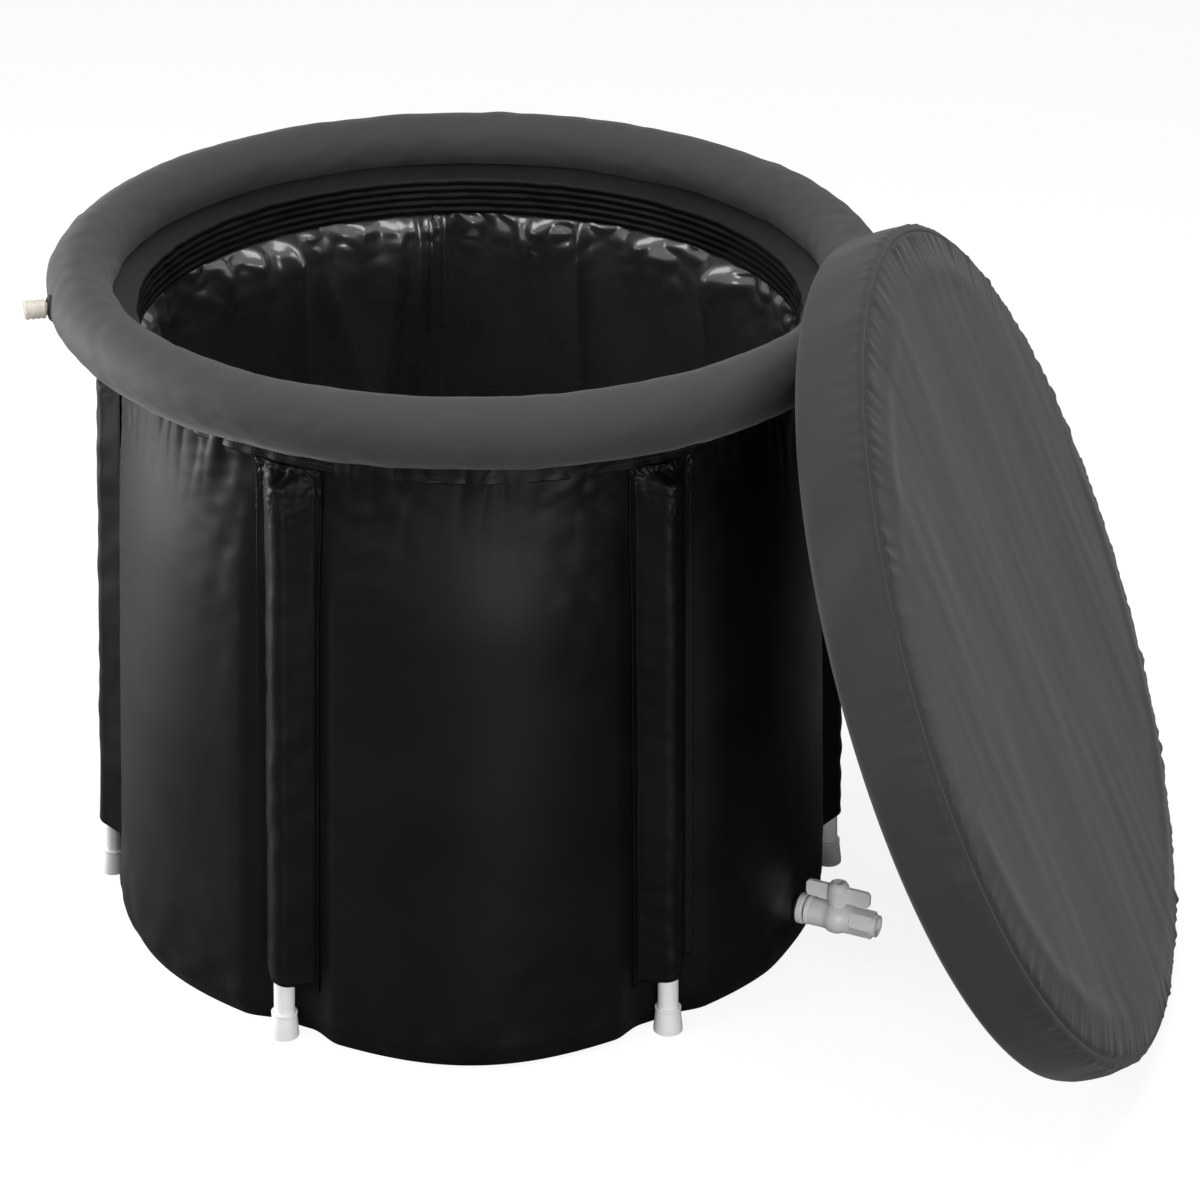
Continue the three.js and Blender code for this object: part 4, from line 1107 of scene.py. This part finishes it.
CAP_FROM = 0.0378
CAP_TO = 0.0598
CAP_INSIDE = 0.0513
CAP_BORE = 0.0073
GRIP_PITCH = 0.0055
grip_ridge = [(0.0092, 0.0004), (0.0100, 0.0016), (0.0100, 0.0034), (0.0092, 0.0046)]
cap_outline = [(AXIS_GAP, CAP_INSIDE), (CAP_BORE, CAP_INSIDE), (CAP_BORE, CAP_FROM)]
for i in range(4):
    cap_outline += [(radius, CAP_FROM + GRIP_PITCH * i + rise) for radius, rise in grip_ridge]
cap_outline += [(0.0090, CAP_TO - 0.0004), (0.0082, CAP_TO), (AXIS_GAP, CAP_TO)]
cap = moulded("air_cap_vinyl", [(*turned(cap_outline), air_frame)], clear_vinyl, 0.0003, body="air_cap")
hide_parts("air_valve_cap")


# Lid: a thick foam disc in a charcoal nylon cover, leaning on the collar with its edge on the floor.
# The cover is a top panel, a side band and an underside, and the seam round the top puckers both cloths.
LID_RADIUS = 0.442
LID_HALF = 0.0385
LID_CROWN = 0.006
LID_CORNER = 0.008
PILLOW_RISE = 0.0074
PILLOW_ROUND = 0.022
SEAM_DIP = 0.0014
SEAM_SOFT = 0.0028
LID_PLUMP = 0.0025
LID_RIDGE = 0.0022
PUCKER_DEPTH = 0.0016
PUCKER_RING = 0.46
LID_CENTRE = np.array([0.5519, -0.2670, 0.4192])
lid_side = np.array([0.226651, 0.973976, 0.0])
lid_up = np.cross(LID_NORMAL, lid_side)
# Painted shade: the lid's cover is the same nylon as the collar, given darker colours so that it looks less
# lit.
lid_nylon_painted_shade = woven_nylon("charcoal_lid_nylon_painted_shade", "#2c2c2e", "#313133", "#3b3b3d")
lid_turn = np.stack([lid_side, lid_up, LID_NORMAL], axis=1)


def lying(turn, radius, height):
    """Points of the lid lying flat, from polar places on it."""
    turn, radius, height = np.broadcast_arrays(turn, radius, height)
    return np.stack([radius * np.cos(turn), radius * np.sin(turn), height], axis=-1)


def on_lid(turn, radius, height):
    """Points of the lid from polar places on it, taken to where it leans."""
    return lying(turn, radius, height) @ lid_turn.T + LID_CENTRE


LID_COLUMNS = 720
turns = np.linspace(0, math.tau, LID_COLUMNS, endpoint=False)[:, None]
face_edge = LID_RADIUS - LID_CORNER
radii = face_edge * (1 - np.linspace(1 - PINHOLE, 0, 84) ** 1.8)[None, :]
lid_flat = lying(turns, radii, 0.0)
inward = face_edge - radii
crown = LID_HALF - LID_CROWN + PILLOW_RISE * (1 - np.exp(-inward / PILLOW_ROUND))
round_seam = on_ring(turns, PUCKER_RING, 0.0)
pucker = np.abs(ripples(round_seam, 0.030, 0, 81)) + 0.6 * np.abs(ripples(round_seam, 0.013, 0, 83))
pucker = PUCKER_DEPTH * pucker * np.exp(-inward / 0.015) * smooth(inward, 0.0, 0.004)
here_and_there = smooth(ripples(lid_flat, 0.5, 0, 85), -0.8, 0.8)
ridge = LID_RIDGE * np.exp(-(((inward - 0.042) / 0.014) ** 2)) * here_and_there
drift = lid_flat * np.array([1.0, 0.28, 1.0])
faint = 0.00018 * ripples(drift, 0.045, 0, 87) + 0.0005 * ripples(drift, 0.2, 0, 89)
seam_dip = -SEAM_DIP * np.exp(-inward / SEAM_SOFT)
lid_height = np.maximum(crown + pucker + ridge + faint * smooth(inward, 0.0, 0.05), crown - 0.0008) + seam_dip
lid_top = cloth_mesh(
    "lid_top_cloth", on_lid(turns, radii, lid_height), lid_nylon_painted_shade, (2.2, face_edge), wrap_u=True, body="lid"
)
flat_uv = lid_flat[..., :2].reshape(-1, 2)
corner_of = np.empty(len(lid_top.data.loops), dtype=np.int32)
lid_top.data.loops.foreach_get("vertex_index", corner_of)
lid_top.data.uv_layers["flat_cloth"].data.foreach_set("uv", flat_uv[corner_of].astype(np.float32).ravel())
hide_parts("lid_top_panel")

top_line = LID_HALF - LID_CROWN
round_way = np.linspace(0, math.pi / 2, 9)
rise = LID_CORNER * (1 - np.sin(round_way))
tuck = LID_CORNER * (1 - np.cos(round_way))
straight = np.linspace(-LID_HALF + LID_CORNER, top_line - LID_CORNER, 34)[1:-1]
edge_radius = np.concatenate([LID_RADIUS - rise, 0 * straight + LID_RADIUS, LID_RADIUS - tuck])[None, :]
edge_height = np.concatenate([-LID_HALF + tuck, straight, top_line - rise])[None, :]
from_seam = top_line - edge_height
lid_ring = lying(turns, LID_RADIUS, edge_height)
at_seam = np.exp(-from_seam / 0.012) * smooth(from_seam, 0, 0.005)
side_pucker = PUCKER_DEPTH * np.abs(ripples(lid_ring, 0.030, 0.3, 91)) * at_seam
off_seam = smooth(from_seam, 0, 0.02)
side_slack = 0.0012 * ripples(lid_ring, 0.11, 0.6, 93) * off_seam * smooth(edge_height, -LID_HALF, -0.02)
floor_side = smooth(np.cos(turns + math.pi / 2), 0.9, 1.0)
plump = LID_PLUMP * np.cos(np.clip(edge_height / LID_HALF, -1, 1) * math.pi / 2) * (1 - floor_side)
fullness = (side_pucker + side_slack + plump * off_seam) * (1 - 0.8 * floor_side)
band_dip = SEAM_DIP * np.exp(-(edge_radius - face_edge) / SEAM_SOFT) * (edge_height > 0)
lid_band = cloth_mesh(
    "lid_side_cloth",
    on_lid(turns, edge_radius + fullness, edge_height - band_dip),
    lid_nylon_painted_shade,
    (math.tau * LID_RADIUS, 0.083),
    wrap_u=True,
    body="lid",
)
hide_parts("lid_side_band")

under_radii = (face_edge * np.linspace(PINHOLE, 1, 50) ** 0.8)[None, :]
under_flat = lying(turns, under_radii, 0.0)
under_sag = 0.0004 * np.abs(ripples(under_flat, 0.12, 0, 95)) * (1 - (under_radii / face_edge) ** 8)
lid_under = cloth_mesh(
    "lid_under_cloth",
    on_lid(turns, under_radii, -LID_HALF + 0.0004 + under_sag)[::-1],
    lid_nylon_painted_shade,
    (2.2, face_edge),
    wrap_u=True,
    body="lid",
)
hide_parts("lid_underside")
